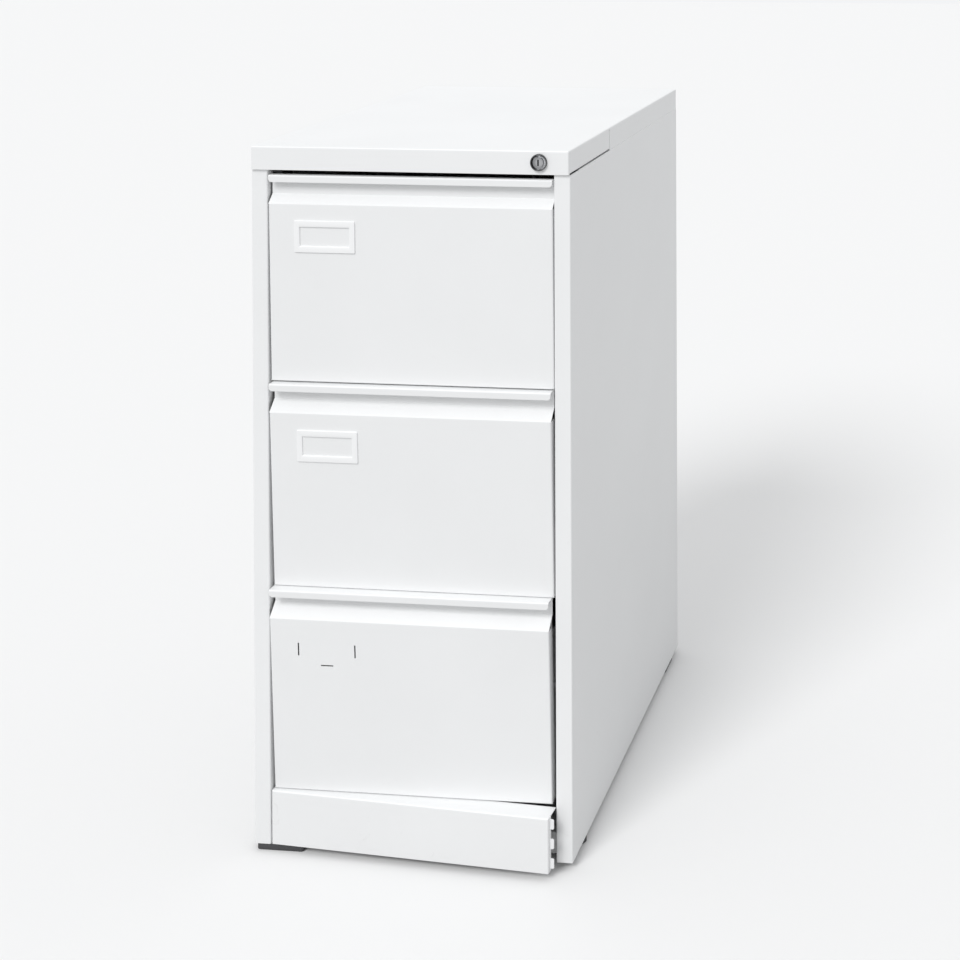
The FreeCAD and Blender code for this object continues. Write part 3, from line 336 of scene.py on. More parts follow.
runner_zinc = plated_metal("runner_zinc", (0.66, 0.67, 0.68), (0.50, 0.51, 0.53), 0.26, 0.22, 0.00001)
upright_zinc = plated_metal("upright_zinc", (0.56, 0.57, 0.58), (0.42, 0.43, 0.45), 0.36, 0.22, 0.00001)
bar_zinc = plated_metal("bar_zinc", (0.55, 0.56, 0.57), (0.42, 0.43, 0.44), 0.34, 0.20, 0.00001)
screw_zinc = plated_metal("screw_zinc", (0.62, 0.63, 0.64), (0.48, 0.49, 0.50), 0.28, 0.15, 0.000005)
ball_steel = plated_metal("ball_steel", (0.60, 0.61, 0.62), (0.45, 0.46, 0.47), 0.18, 0.12, 0.000003)
print("metals made")

# %% The lock's chrome
# The lock's greys are painted reflection and shade, centred just right of the lock's axis.
painted_reflection_middle = (192.5 * mm, 0.0, 1000.0 * mm)
lock_span = 14.0 * mm
bright_chrome = (0.90, 0.91, 0.93)
dim_chrome = (0.78, 0.79, 0.81)
scratch_spread = 0.08
scratch_depth = 0.000002


def chrome_with_painted_reflection(name, roughness, tones):
    """Chrome with painted reflection and shade: its grey changes with the distance from a point just
    right of the lock's axis, so the hollow is painted dark on the left and bright on the right.

    tones are pairs of a distance in millimetres and a grey. The distance ignores the depth, and is
    divided by lock_span so that it runs from nought to one along the colour ramp.
    """
    material = plated_metal(name, bright_chrome, dim_chrome, roughness, scratch_spread, scratch_depth)
    tree = material.node_tree
    shader = tree.nodes["Principled BSDF"]
    chrome = shader.inputs["Base Color"].links[0].from_socket
    position = tree.nodes["Texture Coordinate"].outputs["Object"]
    apart = add_node(tree, "ShaderNodeVectorMath", operation="SUBTRACT")
    apart.inputs[1].default_value = painted_reflection_middle
    tree.links.new(position, apart.inputs[0])
    flat = add_node(tree, "ShaderNodeVectorMath", operation="MULTIPLY")
    flat.inputs[1].default_value = (1.0, 0.0, 1.0)
    tree.links.new(apart.outputs["Vector"], flat.inputs[0])
    distance = add_node(tree, "ShaderNodeVectorMath", operation="LENGTH")
    tree.links.new(flat.outputs["Vector"], distance.inputs[0])
    ramp = tree.nodes.new("ShaderNodeValToRGB")
    tree.links.new(spread(tree, distance.outputs["Value"], 0.0, lock_span), ramp.inputs["Fac"])
    stops = ramp.color_ramp.elements
    while len(stops) < len(tones):
        stops.new(1.0)
    for stop, (reach, grey) in zip(stops, tones):
        stop.position = reach * mm / lock_span
        stop.color = (grey, grey, grey, 1.0)
    blend = add_node(tree, "ShaderNodeMix", data_type="RGBA", blend_type="MULTIPLY")
    blend.inputs[0].default_value = 1.0
    tree.links.new(chrome, blend.inputs[6])
    tree.links.new(ramp.outputs["Color"], blend.inputs[7])
    tree.links.new(blend.outputs[2], shader.inputs["Base Color"])
    return material


# Painted reflection and shade on the ring: near black from 10.5 to 12 mm out from the offset middle, which
# darkens the hollow on the left and leaves it bright on the right.
ring_painted_reflection = [
    (0.0, 0.7), (7.8, 0.9), (8.8, 0.75), (9.6, 0.35),
    (10.5, 0.10), (12.0, 0.10), (12.6, 0.35), (13.6, 0.6),
]
# Painted shade and reflection on the plug: darker towards its edge, most on the left.
plug_painted_shade = [(0.0, 0.5), (4.0, 0.5), (7.0, 0.32), (9.5, 0.25)]
ring_chrome = chrome_with_painted_reflection("ring_chrome", 0.08, ring_painted_reflection)
plug_chrome = chrome_with_painted_reflection("plug_chrome", 0.16, plug_painted_shade)
print("lock metals", ring_chrome.name, plug_chrome.name)

# %% The plastics
spark_strength = 0.5
plastic_rubs = 0.2


def moulded_plastic(name, color, gloss_drift, grain_scale, grain_depth):
    """Injection moulded plastic: the mould's fine spark grain, and a slight drift of its tone.

    A rub is half the colour plus a dark grey.
    """
    values = {
        "Paint": (*color, 1.0),
        "Rubbed": (*(0.5 * part + 0.12 for part in color), 1.0),
        "Rubs": plastic_rubs,
        "Peel Scale": grain_scale,
        "Gloss Drift": gloss_drift,
    }
    return material_from(paint_group, name, values, spark_strength, grain_depth)


foot_plastic = moulded_plastic("foot_plastic", (0.052, 0.052, 0.055), 0.3, 1800.0, 0.00004)
label_plastic = moulded_plastic("label_plastic", (0.92, 0.925, 0.93), 0.04, 2400.0, 0.00001)
print("plastics made")

# %% [markdown]
# ## The carcass, dressed as it is
# The side panels, back, cover, plinth and most inner pieces already have the right shape in the
# model, down to their bends. They keep their meshes and only get their finish. The record names a
# material slot for each node, so one table from slot to material dresses them all.

# %% Finishes of the model's own pieces
finish_of = {
    "painted_carcass": carcass_paint,
    "painted_cover": cover_paint,
    "painted_front": front_paint,
    "painted_drawer": drawer_paint,
    "painted_plinth": plinth_paint,
    "zinc_carcass": upright_zinc,
    "zinc_slide": runner_zinc,
    "zinc_rail": runner_zinc,
    "zinc_lock_bar": bar_zinc,
    "zinc_fastener": screw_zinc,
    "chrome_lock": ring_chrome,
    "chrome_plug": plug_chrome,
    "plastic_foot": foot_plastic,
    "plastic_label_holder": label_plastic,
}
for part in frame["record"]["subparts"]:
    node = frame["nodes"][part["node"]]
    node.data.materials.clear()
    node.data.materials.append(finish_of[part["material_slot"]])

# %% [markdown]
# ## Surfaces from arrays
# The new pieces are grids of points. A grid has rows and columns, and a sheet of metal is two such
# grids a thickness apart, joined along every free edge. Rows and columns can be left out, which
# makes a slot or a notch, and the walls of the hole are added by the same rule: an edge between a
# cell that is kept and one that isn't gets a wall. Moulded and turned pieces are loops of points
# that follow one another, like the hoops of a barrel.

# %% Making an object from arrays
sharp_turn = math.radians(40)


def make_piece(name, points, faces, body, material):
    """A mesh object from points and faces, dressed and riding on its body.

    Points that no face uses are dropped. Where the surface turns by more than forty degrees the
    edge stays sharp, and everything else is shaded smooth.
    """
    corners = np.concatenate([np.asarray(face) for face in faces])
    used, compact = np.unique(corners, return_inverse=True)
    sizes = np.array([len(face) for face in faces])
    new_faces = [group.tolist() for group in np.split(compact, np.cumsum(sizes)[:-1])]
    mesh = bpy.data.meshes.new(name)
    mesh.from_pydata(np.asarray(points, float)[used].tolist(), [], new_faces)
    mesh.validate()
    mesh.shade_smooth()
    mesh.set_sharp_from_angle(angle=sharp_turn)
    mesh.materials.append(material)
    piece = bpy.data.objects.new(name, mesh)
    bpy.context.scene.collection.objects.link(piece)
    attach(piece, body)
    return piece


def merge(*pieces):
    """One array of points and one list of faces from several pairs of them."""
    start = 0
    faces = []
    for points, piece_faces in pieces:
        faces.extend((np.asarray(face) + start) for face in piece_faces)
        start += len(points)
    return np.concatenate([points for points, _ in pieces]), faces


print("forty degrees keep an edge sharp")

# %% Sheets


def sheet_faces(keep):
    """Quads of a sheet of two grids: the first grid's cells, the second's turned over, and walls.

    keep[i, j] says whether the cell between rows i, i+1 and columns j, j+1 is metal. Point (i, j)
    has number i * columns + j in the first grid, and the second grid follows the first. A wall
    stands wherever keep changes from one cell to the next, or at the border of the grid.
    """
    rows, columns = keep.shape[0] + 1, keep.shape[1] + 1
    number = np.arange(rows * columns).reshape(rows, columns)
    far = number + rows * columns
    i, j = np.nonzero(keep)
    front_side = np.stack([number[i, j], number[i, j + 1], number[i + 1, j + 1], number[i + 1, j]], 1)
    back_side = np.stack([far[i, j], far[i + 1, j], far[i + 1, j + 1], far[i, j + 1]], 1)
    padded = np.pad(keep, 1).astype(int)
    along = padded[1:, 1:-1] - padded[:-1, 1:-1]
    upward = padded[1:-1, 1:] - padded[1:-1, :-1]
    walls = []
    for step, (a, b) in ((1, (0, 1)), (-1, (1, 0))):
        i, j = np.nonzero(along == step)
        walls.append(np.stack([number[i, j + a], far[i, j + a], far[i, j + b], number[i, j + b]], 1))
        i, j = np.nonzero(upward == step)
        walls.append(np.stack([number[i + b, j], far[i + b, j], far[i + a, j], number[i + a, j]], 1))
    return np.concatenate([front_side, back_side] + walls)


def stations(start, end, spacing, cuts=()):
    """Even steps between two ends that also stop at every cut."""
    count = max(1, math.ceil(abs(end - start) / spacing))
    inside = [cut for cut in cuts if min(start, end) < cut < max(start, end)]
    values = np.unique(np.concatenate([np.linspace(start, end, count + 1), inside]).round(7))
    return values if end > start else values[::-1]


one_hole = np.array([[1, 1, 1], [1, 0, 1], [1, 1, 1]], bool)
print("a sheet with one hole has", len(sheet_faces(one_hole)), "quads")

# %% Loops


def rounded_loop(half_width, half_height, radius, steps=5):
    """A rounded rectangle, counter-clockwise, as pairs of numbers.

    Each corner is a quarter circle: its centre lies one radius inside both sides, and the points
    are the centre plus the radius times the cosine and sine of the turn.
    """
    turn = np.arange(4)[:, None] * math.pi / 2 + np.linspace(0.0, math.pi / 2, steps + 1)
    side_x = np.array([1, -1, -1, 1])[:, None]
    side_y = np.array([1, 1, -1, -1])[:, None]
    across = side_x * (half_width - radius) + radius * np.cos(turn)
    upward = side_y * (half_height - radius) + radius * np.sin(turn)
    return np.stack([across.ravel(), upward.ravel()], 1)


def loop_faces(loops, count, closed=False):
    """Quads between neighbouring loops of count points; closed also joins the last to the first.

    They face outwards when the loops run counter-clockwise, seen from where the loops step to.
    """
    i = np.arange(loops if closed else loops - 1)[:, None]
    j = np.arange(count)[None, :]
    after = (i + 1) % loops
    beside = (j + 1) % count
    here = np.stack(np.broadcast_arrays(i * count + j, i * count + beside), -1)
    there = np.stack(np.broadcast_arrays(after * count + beside, after * count + j), -1)
    return np.concatenate([here, there], -1).reshape(-1, 4)


def stacked(loops):
    """Points and faces of loops that are stacked and closed with a flat cap at both ends."""
    count = len(loops[0])
    last = (len(loops) - 1) * count
    caps = [np.arange(count)[::-1], np.arange(last, last + count)]
    return np.concatenate(loops), list(loop_faces(len(loops), count)) + caps


print("a rounded rectangle has", len(rounded_loop(2.0, 1.0, 0.5)), "points")

# %% [markdown]
# ## The bends
# A press brake leaves a small round bend, about two sheet thicknesses in radius. The middle line of
# the sheet is drawn as a few corner points, and each corner is rounded with an arc. At every point
# the line also has a direction, and the two faces of the sheet lie half a thickness to each side.
# A straight leg gets one more point a third of a millimetre from each bend. Smooth shading then
# turns only within that narrow strip, and the flat stays flat.

# %% The rounded middle line
guard = 0.35 * mm


def bent_line(corners, radius, spacing, cuts, arc_steps=6):
    """The middle line of a folded strip: its points, its directions, and the leg of each point.

    Each inner corner becomes an arc that starts radius * tan(turn / 2) before the corner. On the
    arc the direction turns evenly, and the point is the start plus radius times the difference of
    the sines and cosines of the two directions. Between arcs the line is straight, with steps at
    most the spacing apart, and cuts gives the heights at which a leg has a step as well. Points on
    an arc have leg -1.
    """
    corners = np.asarray(corners, float)
    legs = np.diff(corners, axis=0)
    lengths = np.hypot(legs[:, 0], legs[:, 1])
    angles = np.unwrap(np.arctan2(legs[:, 1], legs[:, 0]))
    turns = np.diff(angles)
    setback = np.concatenate([[0.0], radius * np.tan(np.abs(turns) / 2), [0.0]])
    points = []
    headings = []
    numbers = []
    for k in range(len(legs)):
        unit = legs[k] / lengths[k]
        first = corners[k] + unit * setback[k]
        last = corners[k + 1] - unit * setback[k + 1]
        run = np.linalg.norm(last - first)
        crossings = [(height - first[1]) / unit[1] for height in cuts.get(k, ())]
        steps = stations(0.0, run, spacing, [guard, run - guard, *crossings])
        points.append(first + steps[:, None] * unit)
        headings.append(np.full(len(steps), angles[k]))
        numbers.append(np.full(len(steps), k))
        if k < len(turns):
            heading = angles[k] + turns[k] * np.linspace(0.0, 1.0, arc_steps + 2)[1:-1]
            bulge_x = np.sin(heading) - np.sin(angles[k])
            bulge_y = np.cos(angles[k]) - np.cos(heading)
            bulge = np.stack([bulge_x, bulge_y], 1)
            points.append(last + radius * np.sign(turns[k]) * bulge)
            headings.append(heading)
            numbers.append(np.full(arc_steps, -1))
    return np.concatenate(points), np.concatenate(headings), np.concatenate(numbers)


sample_line = bent_line([(0, 0), (0, 10 * mm), (10 * mm, 10 * mm)], 1.5 * mm, 4 * mm, {})
print("a strip with one bend has", len(sample_line[0]), "stations")

# %% [markdown]
# ## The drawer fronts
# Each front is one sheet. It starts with a flange under the drawer, rises as a face that leans
# forward, turns back into a sloped finger recess, climbs the back of the recess, and comes forward
# again over the fingers to end in a lip. The face's two sides are folded back as well. So the face
# bends along its height and across its width, and the corners are notched where two bends would
# meet. One way is to model it by extruding edges. Here it is the product of two folded lines: one
# runs up the drawer and the other across it, and a point takes its place from both.
#
# The three drawers hang a little differently, as they do in the photograph, so each front has a
# lean and a sideways place of its own, and its edges and bends may lie a millimetre or two from the
# model's.

# %% Sizes of a front
sheet = 1.0 * mm
bend_radius = 1.5 * mm
front_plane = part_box("left_side_panel")[0][1]
front_height = 293.5 * mm
face_height = 252.5 * mm
lip_base = 283.5 * mm
recess_wall = 9.0 * mm
under_flange = 14.0 * mm
side_flange = 15.0 * mm
lip_corner = 5.0 * mm
dish_depth = 0.25 * mm
row_spacing = 14 * mm
column_spacing = 12 * mm
flange_spacing = 4 * mm
quarter_turn = np.linspace(0.0, math.pi / 2, 7)
tiny = 1e-7
face_leg = 1
lip_leg = 5
front_lean = {
    "lower": (8.0 * mm, 5.0 * mm),
    "centre": (6.5 * mm, 4.5 * mm),
    "upper": (3.0 * mm, 2.5 * mm),
}
lower_edge = {"lower": -0.4 * mm, "centre": -2.5 * mm, "upper": -2.2 * mm}
recess_rise = {"lower": -0.8 * mm, "centre": -1.7 * mm, "upper": 1.3 * mm}
widening = {"lower": -1.6 * mm, "centre": 0.0, "upper": 1.8 * mm}
front_half = {}
front_base = {}
front_shift = {}
for name in front_lean:
    low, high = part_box(f"{name}_drawer_front")
    front_half[name] = (high[0] - low[0]) / 2 + widening[name]
    front_base[name] = low[2]
    front_shift[name] = (low[0] + high[0]) / 2
print("front plane", round(front_plane, 4))
print("half widths", {name: round(half, 4) for name, half in front_half.items()})
print("shifts", {name: round(shift, 4) for name, shift in front_shift.items()})

# %% Slots that a label frame hooks into
frame_width = 90.0 * mm
frame_tall = 45.5 * mm
frame_centre = {"lower": -123.0 * mm, "centre": -120.8 * mm, "upper": -124.6 * mm}
frame_drop = {"lower": 25.0 * mm, "centre": 25.5 * mm, "upper": 22.2 * mm}
slot_half = 1.0 * mm
slot_drop = 10.0 * mm
slot_tall = 19.0 * mm
slot_inset = 3.0 * mm
slot_reach = frame_width / 2 - slot_inset
foot_slot_half = 9.25 * mm
foot_slot_drop = 42.0 * mm


def frame_slots(name):
    """The bounds (left, right, low, high) of a front's three slots, heights from its lower edge."""
    middle = frame_centre[name]
    top = face_height - frame_drop[name]
    high = top - slot_drop
    foot_high = top - foot_slot_drop + slot_half
    bounds = []
    for side in (-1, 1):
        x = middle + side * slot_reach
        bounds.append((x - slot_half, x + slot_half, high - slot_tall, high))
    foot_low = foot_high - 2 * slot_half
    bounds.append((middle - foot_slot_half, middle + foot_slot_half, foot_low, foot_high))
    return bounds


for slot in frame_slots("lower"):
    print("slot of the lower front", [round(value, 4) for value in slot])

# %% The line up a front and the line across it


def front_section(name):
    """Corner points (depth, height) of a front's middle line, from the lower flange to the lip.

    At each height the face's depth is the sink less the lean times the height. The slope above it
    rises as far as it goes back, so the middle line meets both at half of 45 degrees, which moves
    those two corners by half a thickness times the tangent of 22.5 degrees.
    """
    proud, sink = front_lean[name]
    lean = (proud + sink) / face_height
    half = sheet / 2
    base = lower_edge[name] + half
    rise = recess_rise[name]
    top = front_height + rise - half
    shift = half * math.tan(math.pi / 8)
    return [
        (under_flange, base),
        (sink - lean * base + half, base),
        (half - proud, face_height + rise - shift),
        (recess_wall + half, face_height + rise + recess_wall + half + proud - shift * 2),
        (recess_wall + half, top),
        (sink - lean * top + half, top),
        (sink - lean * (lip_base + rise) + half, lip_base + rise),
    ]


def front_columns(name):
    """Places across a front, from the left flange's edge to the right one.

    The columns are the stations of a folded line: flange, bend, face, bend, flange. Each column has
    a place on X, a depth behind the face, and the X and outward parts of its normal.
    """
    half = front_half[name] - sheet / 2
    corner = half - bend_radius
    slot_sides = [x - front_shift[name] for slot in frame_slots(name) for x in slot[:2]]
    cuts = [guard - corner, corner - guard, *slot_sides]
    flange = stations(side_flange, bend_radius, flange_spacing, [bend_radius + guard])[:-1]
    flat = stations(-corner, corner, column_spacing, cuts)[1:-1]
    bend_side = np.cos(quarter_turn)
    bend_x = corner + bend_radius * bend_side
    bend_depth = bend_radius * (1 - np.sin(quarter_turn))
    flange_x = np.full(len(flange), half)
    flange_side = np.ones(len(flange))
    x = np.concatenate([-flange_x, -bend_x, flat, bend_x[::-1], flange_x])
    depth = np.concatenate([flange, bend_depth, 0 * flat, bend_depth[::-1], flange[::-1]])
    side = np.concatenate([-flange_side, -bend_side, 0 * flat, bend_side[::-1], flange_side])
    return x, depth, side, np.sqrt(1 - side ** 2)


print("columns", len(front_columns("lower")[0]))

# %% Making a front


def drawer_front(name):
    """A front from its two folded lines.

    Inside the face's rows a point is the middle line's point, set back by the column's depth, and
    its normal leans outwards and sideways as the column's does. On all other rows the sheet is flat
    across, so the columns of the bends spread out to the sheet's side edge and the flanges' columns
    are left out. Along the lip the rows grow shorter in a quarter circle. A shallow dish, a quarter
    of a millimetre deep, follows half a wave up the face and half a wave across it.
    """
    slots = frame_slots(name)
    half_width = front_half[name]
    lip_end = lip_base + recess_rise[name]
    lip_heights = lip_end + lip_corner * (1 - np.cos(quarter_turn))[1:]
    cuts = {face_leg: [z for slot in slots for z in slot[2:]], lip_leg: lip_heights}
    line, heading, legs = bent_line(front_section(name), bend_radius, row_spacing, cuts)
    out = np.stack([-np.sin(heading), np.cos(heading)], 1)
    x, depth, side, outward = front_columns(name)
    on_face = legs == face_leg
    bend_start = half_width - sheet / 2 - bend_radius
    outside = np.abs(x) > bend_start + tiny
    spread_x = bend_start + (half_width - bend_start) * np.abs(side)
    flat_x = np.where(outside, np.sign(x) * spread_x, x)
    lip_share = np.clip((lip_end + lip_corner - line[:, 1]) / lip_corner, 0, 1)
    lip_drop = np.where(legs == lip_leg, lip_share, 0)
    trim = lip_corner * (1 - np.sqrt(1 - lip_drop ** 2))

    face = on_face[:, None]
    place_x = np.where(face, x, flat_x * (1 - trim / half_width)[:, None])
    behind = np.where(face, depth, 0.0)
    normal_x = np.where(face, side, 0.0)
    normal_out = np.where(face, outward, 1.0)
    share_up = np.clip(line[:, 1] / face_height, 0.0, 1.0)
    upward_dish = dish_depth * np.sin(math.pi * share_up)[:, None]
    dish = upward_dish * np.cos(place_x / half_width * math.pi / 2)
    behind = behind + np.where(face, dish, 0.0)
    points = []
    for offset in (sheet / 2, -sheet / 2):
        outwards = normal_out * offset - behind
        y = line[:, :1] + out[:, :1] * outwards + front_plane
        z = line[:, 1:] + out[:, 1:] * outwards + front_base[name]
        points.append(np.stack([place_x + normal_x * offset + front_shift[name], y, z], 2))

    used = face | ~(depth > bend_radius + tiny)[None, :]
    keep = used[:-1, :-1] & used[1:, :-1] & used[:-1, 1:] & used[1:, 1:]
    edge_row = on_face[:-1] != on_face[1:]
    corner_cell = outside[:-1] | outside[1:]
    keep &= ~(edge_row[:, None] & corner_cell[None, :])
    middle_x = (x[:-1] + x[1:]) / 2 + front_shift[name]
    middle_z = (line[:-1, 1] + line[1:, 1]) / 2
    for left, right, low, high in slots:
        hole_columns = (middle_x > left) & (middle_x < right)
        hole_rows = (middle_z > low) & (middle_z < high) & on_face[:-1]
        keep &= ~(hole_columns[None, :] & hole_rows[:, None])
    grid = np.concatenate([side_points.reshape(-1, 3) for side_points in points])
    return grid, sheet_faces(keep)


for name in front_lean:
    grid, faces = drawer_front(name)
    front = make_piece(f"{name}_front_sheet", grid, faces, f"{name}_drawer", front_paint)
    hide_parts(f"{name}_drawer_front")
    print(front.name, len(faces), "faces")

# %% [markdown]
# ## The label frames
# A clear or white moulded frame holds the card that says what a drawer is for. Here the two upper
# drawers have an empty one each. The moulding is eight to nine millimetres wide and two thick, its
# outer edge is rounded where fingers meet it, and its inner edge is a little lower, so that the
# card slides in. It could be a bevelled rectangle with a hole cut in it. Here its section is drawn
# once and carried around a rounded rectangle, so that both roundings stay even. Two hooks on its
# back stand in the slots of the front.

# %% Making the label frames
side_band = 8.2 * mm
cross_band = 9.0 * mm
frame_thickness = 2.0 * mm
# The corners, the sections (inset, height) and the hooks' levels (out, inset) are in millimetres.
outer_corner = 1.5
middle_corner = 1.2
inner_corner = 0.8
outer_half_section = [(0.0, 0.0), (0.0, 1.2), (0.1, 1.6), (0.35, 1.9), (0.8, 1.93)]
inner_half_section = [(0.8, 1.93), (0.35, 1.8), (0.1, 1.5), (0.0, 1.1), (0.0, 0.0)]
hook_levels = [(-3.0, 0.4), (-2.4, 0.1), (-0.5, 0.0), (0.1, 0.0)]
hook_tall = 17.0 * mm
hook_thick = 1.2 * mm
hook_corner = 0.15 * mm


def on_the_face(name, loop, out):
    """Points (across, along the face) of a label frame, carried onto the leaning face.

    Along the face a step goes up by the cosine of the lean and forward by its sine, and a step out
    of the face goes forward by the cosine and down by the sine.
    """
    proud, sink = front_lean[name]
    lean = math.atan((proud + sink) / face_height)
    along = face_height - frame_drop[name] - frame_tall / 2 + loop[:, 1]
    depth = front_plane + sink - along * math.sin(lean) - out * math.cos(lean)
    height = front_base[name] + along * math.cos(lean) - out * math.sin(lean)
    return np.stack([frame_centre[name] + loop[:, 0], depth, height], 1)


def label_frame(name):
    """The moulding as a closed ring of loops, with its two hooks.

    Each loop is a rounded rectangle whose inset and height are one pair of the section. Outside the
    middle the inset makes the rectangle smaller, and inside it larger.
    """
    half_width, half_tall = frame_width / 2, frame_tall / 2
    inner_width, inner_tall = half_width - side_band, half_tall - cross_band
    loops = []
    for inset, height in outer_half_section:
        corner = (outer_corner - inset) * mm
        loop = rounded_loop(half_width - inset * mm, half_tall - inset * mm, corner)
        loops.append(on_the_face(name, loop, height * mm))
    middle = rounded_loop(inner_width + side_band / 2, inner_tall + cross_band / 2, middle_corner * mm)
    loops.append(on_the_face(name, middle, frame_thickness))
    for inset, height in inner_half_section:
        corner = (inner_corner + inset) * mm
        loop = rounded_loop(inner_width + inset * mm, inner_tall + inset * mm, corner)
        loops.append(on_the_face(name, loop, height * mm))
    ring = (np.concatenate(loops), loop_faces(len(loops), len(loops[0]), closed=True))
    hooks = []
    hook_height = half_tall - slot_drop - sheet - hook_tall / 2
    for side in (-1, 1):
        hook_loops = []
        for out, inset in hook_levels:
            loop = rounded_loop(hook_thick / 2 - inset * mm, hook_tall / 2 - inset * mm, hook_corner, 2)
            hook_loops.append(on_the_face(name, loop + (side * slot_reach, hook_height), out * mm))
        hooks.append(stacked(hook_loops))
    return merge(ring, *hooks)


for name in ("centre", "upper"):
    points, faces = label_frame(name)
    frame_piece = make_piece(f"{name}_label_frame", points, faces, f"{name}_drawer", label_plastic)
    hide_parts(f"{name}_label_holder")
    print(frame_piece.name, len(faces), "faces")

# %% [markdown]
# ## The lock
# A barrel lock is turned on a lathe and screwed into the cover from the front. Its flange has a
# rounded rim, a hollow ring inside the rim, and a narrow ridge around the plug. The barrel behind
# the cover is threaded for its nut. A lathe piece can be spun from a curve with a modifier. Here
# the outline is a list of radii and heights, and each pair becomes a circle of points, which keeps
# the thread's ridges at their pitch. The plug with its key slot stays the model's own.

# %% Making the lock's ring
lock_x = 191.0 * mm
lock_z = 1000.0 * mm
cap_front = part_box("top_cover")[0][1]
# The thread and the outline are pairs (radius, height in front of the cover) in millimetres.
thread_ridge = 9.5
thread_root = 9.15
thread_heights = np.arange(-20.0, -6.01, 0.5)
thread = [(thread_root if step % 2 else thread_ridge, height) for step, height in enumerate(thread_heights)]
lock_outline = np.array(thread + [
    (9.5, -5.5), (9.5, 0.0), (12.0, 0.0), (12.0, 3.2), (11.7, 4.1), (11.2, 4.7), (10.7, 5.0),
    (10.3, 4.95), (10.0, 4.7), (9.6, 3.0), (9.3, 2.6), (9.0, 2.9), (8.8, 2.9), (8.6, 2.5),
    (8.2, 2.2), (7.75, 2.2), (7.6, 2.0), (7.6, -20.0),
]) * mm
turn_steps = 72
turn = np.arange(turn_steps) * 2 * math.pi / turn_steps
circle_x = lock_x + lock_outline[:, :1] * np.cos(turn)
circle_z = lock_z + lock_outline[:, :1] * np.sin(turn)
circle_y = np.broadcast_to(cap_front - lock_outline[:, 1:], circle_x.shape)
circles = np.stack([circle_x, circle_y, circle_z], 2)
ring_faces = loop_faces(len(circles), turn_steps, closed=True)
ring = make_piece("lock_ring", circles.reshape(-1, 3), ring_faces, "carcass", ring_chrome)
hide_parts("lock_barrel")
print(ring.name, len(circles), "circles")

# %% [markdown]
# ## The feet
# The cabinet stands on four dark plastic pads, each held by two screws from below. Their lower edge
# is rounded so that they slide over a carpet, and the upper edge meets the base pan. A box with a
# bevel would do. Here a rounded rectangle is stacked with a different inset at each height, which
# gives the wide rounding below and the narrow one above. The front right foot has turned on its
# screws, as in the photograph.

# %% Making the feet
foot_half = 35.0 * mm
foot_half_depth = 24.0 * mm
foot_corner = 4.0 * mm
# Pairs (height, inset) in millimetres.
foot_levels = [(0.0, 1.6), (0.4, 0.8), (1.2, 0.2), (2.2, 0.0), (9.0, 0.0), (9.8, 0.2), (10.0, 0.4)]
foot_turned = {"front_right": math.radians(-27)}
for foot in ("front_left", "front_right", "back_left", "back_right"):
    low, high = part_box(f"foot_{foot}")
    middle = np.array([(low[0] + high[0]) / 2, (low[1] + high[1]) / 2])
    angle = foot_turned.get(foot, 0.0)
    turned = np.array([[math.cos(angle), math.sin(angle)], [-math.sin(angle), math.cos(angle)]])
    loops = []
    for height, inset in foot_levels:
        cut = inset * mm
        loop = rounded_loop(foot_half - cut, foot_half_depth - cut, foot_corner - cut)
        flat = loop @ turned + middle
        loops.append(np.column_stack([flat, np.full(len(flat), height * mm)]))
    points, faces = stacked(loops)
    pad = make_piece(f"{foot}_foot_pad", points, faces, "carcass", foot_plastic)
    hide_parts(f"foot_{foot}")
    print(pad.name, [round(value, 4) for value in middle])

# %% [markdown]
# ## Balls in the runners
# Each runner is three nested channels, and rows of steel balls roll in the two narrow gaps between
# them. A thin strip with a window for each ball keeps them apart. They are only seen when a drawer
# is open. Separate spheres would be heavy, so one coarse ball is made once and its points are added
# to an array of centres. The strips are grids with cells left out, as the fronts are.

# %% Making the balls and their strips
ball_radius = 1.25 * mm
ball_spacing = 20.0 * mm
ball_count = 13
window = 3.2 * mm
strip_thickness = 0.4 * mm
strip_half = 2.6 * mm
outer_gap_inset = 3.6 * mm
outer_gap_rise = 20.3 * mm
inner_gap_inset = 5.1 * mm
inner_gap_rise = 16.5 * mm
strip_end_room = 4 * mm


def coarse_ball():
    """A ball of five rings of eight points with a small flat at both poles.

    A ring's radius is the cosine of its latitude and its height the sine, times the ball's radius.
    """
    latitude = np.radians(np.array([-75.0, -40.0, 0.0, 40.0, 75.0]))[:, None]
    angle = np.arange(8) * math.pi / 4
    x = np.cos(latitude) * np.cos(angle)
    y = np.cos(latitude) * np.sin(angle)
    rings = np.stack([x, y, np.broadcast_to(np.sin(latitude), x.shape)], 2)
    points, faces = stacked(rings)
    return points * ball_radius, faces


def ball_row(x, z, start):
    """Balls along Y at one place across and up; ball n sits n and a half spacings from the start."""
    ball, faces = coarse_ball()
    steps = start + ball_spacing * (np.arange(ball_count) + 0.5)
    centres = np.stack([np.full(ball_count, x), steps, np.full(ball_count, z)], 1)
    points = (centres[:, None, :] + ball[None, :, :]).reshape(-1, 3)
    numbers = np.arange(ball_count) * len(ball)
    return points, [np.asarray(face) + number for number in numbers for face in faces]


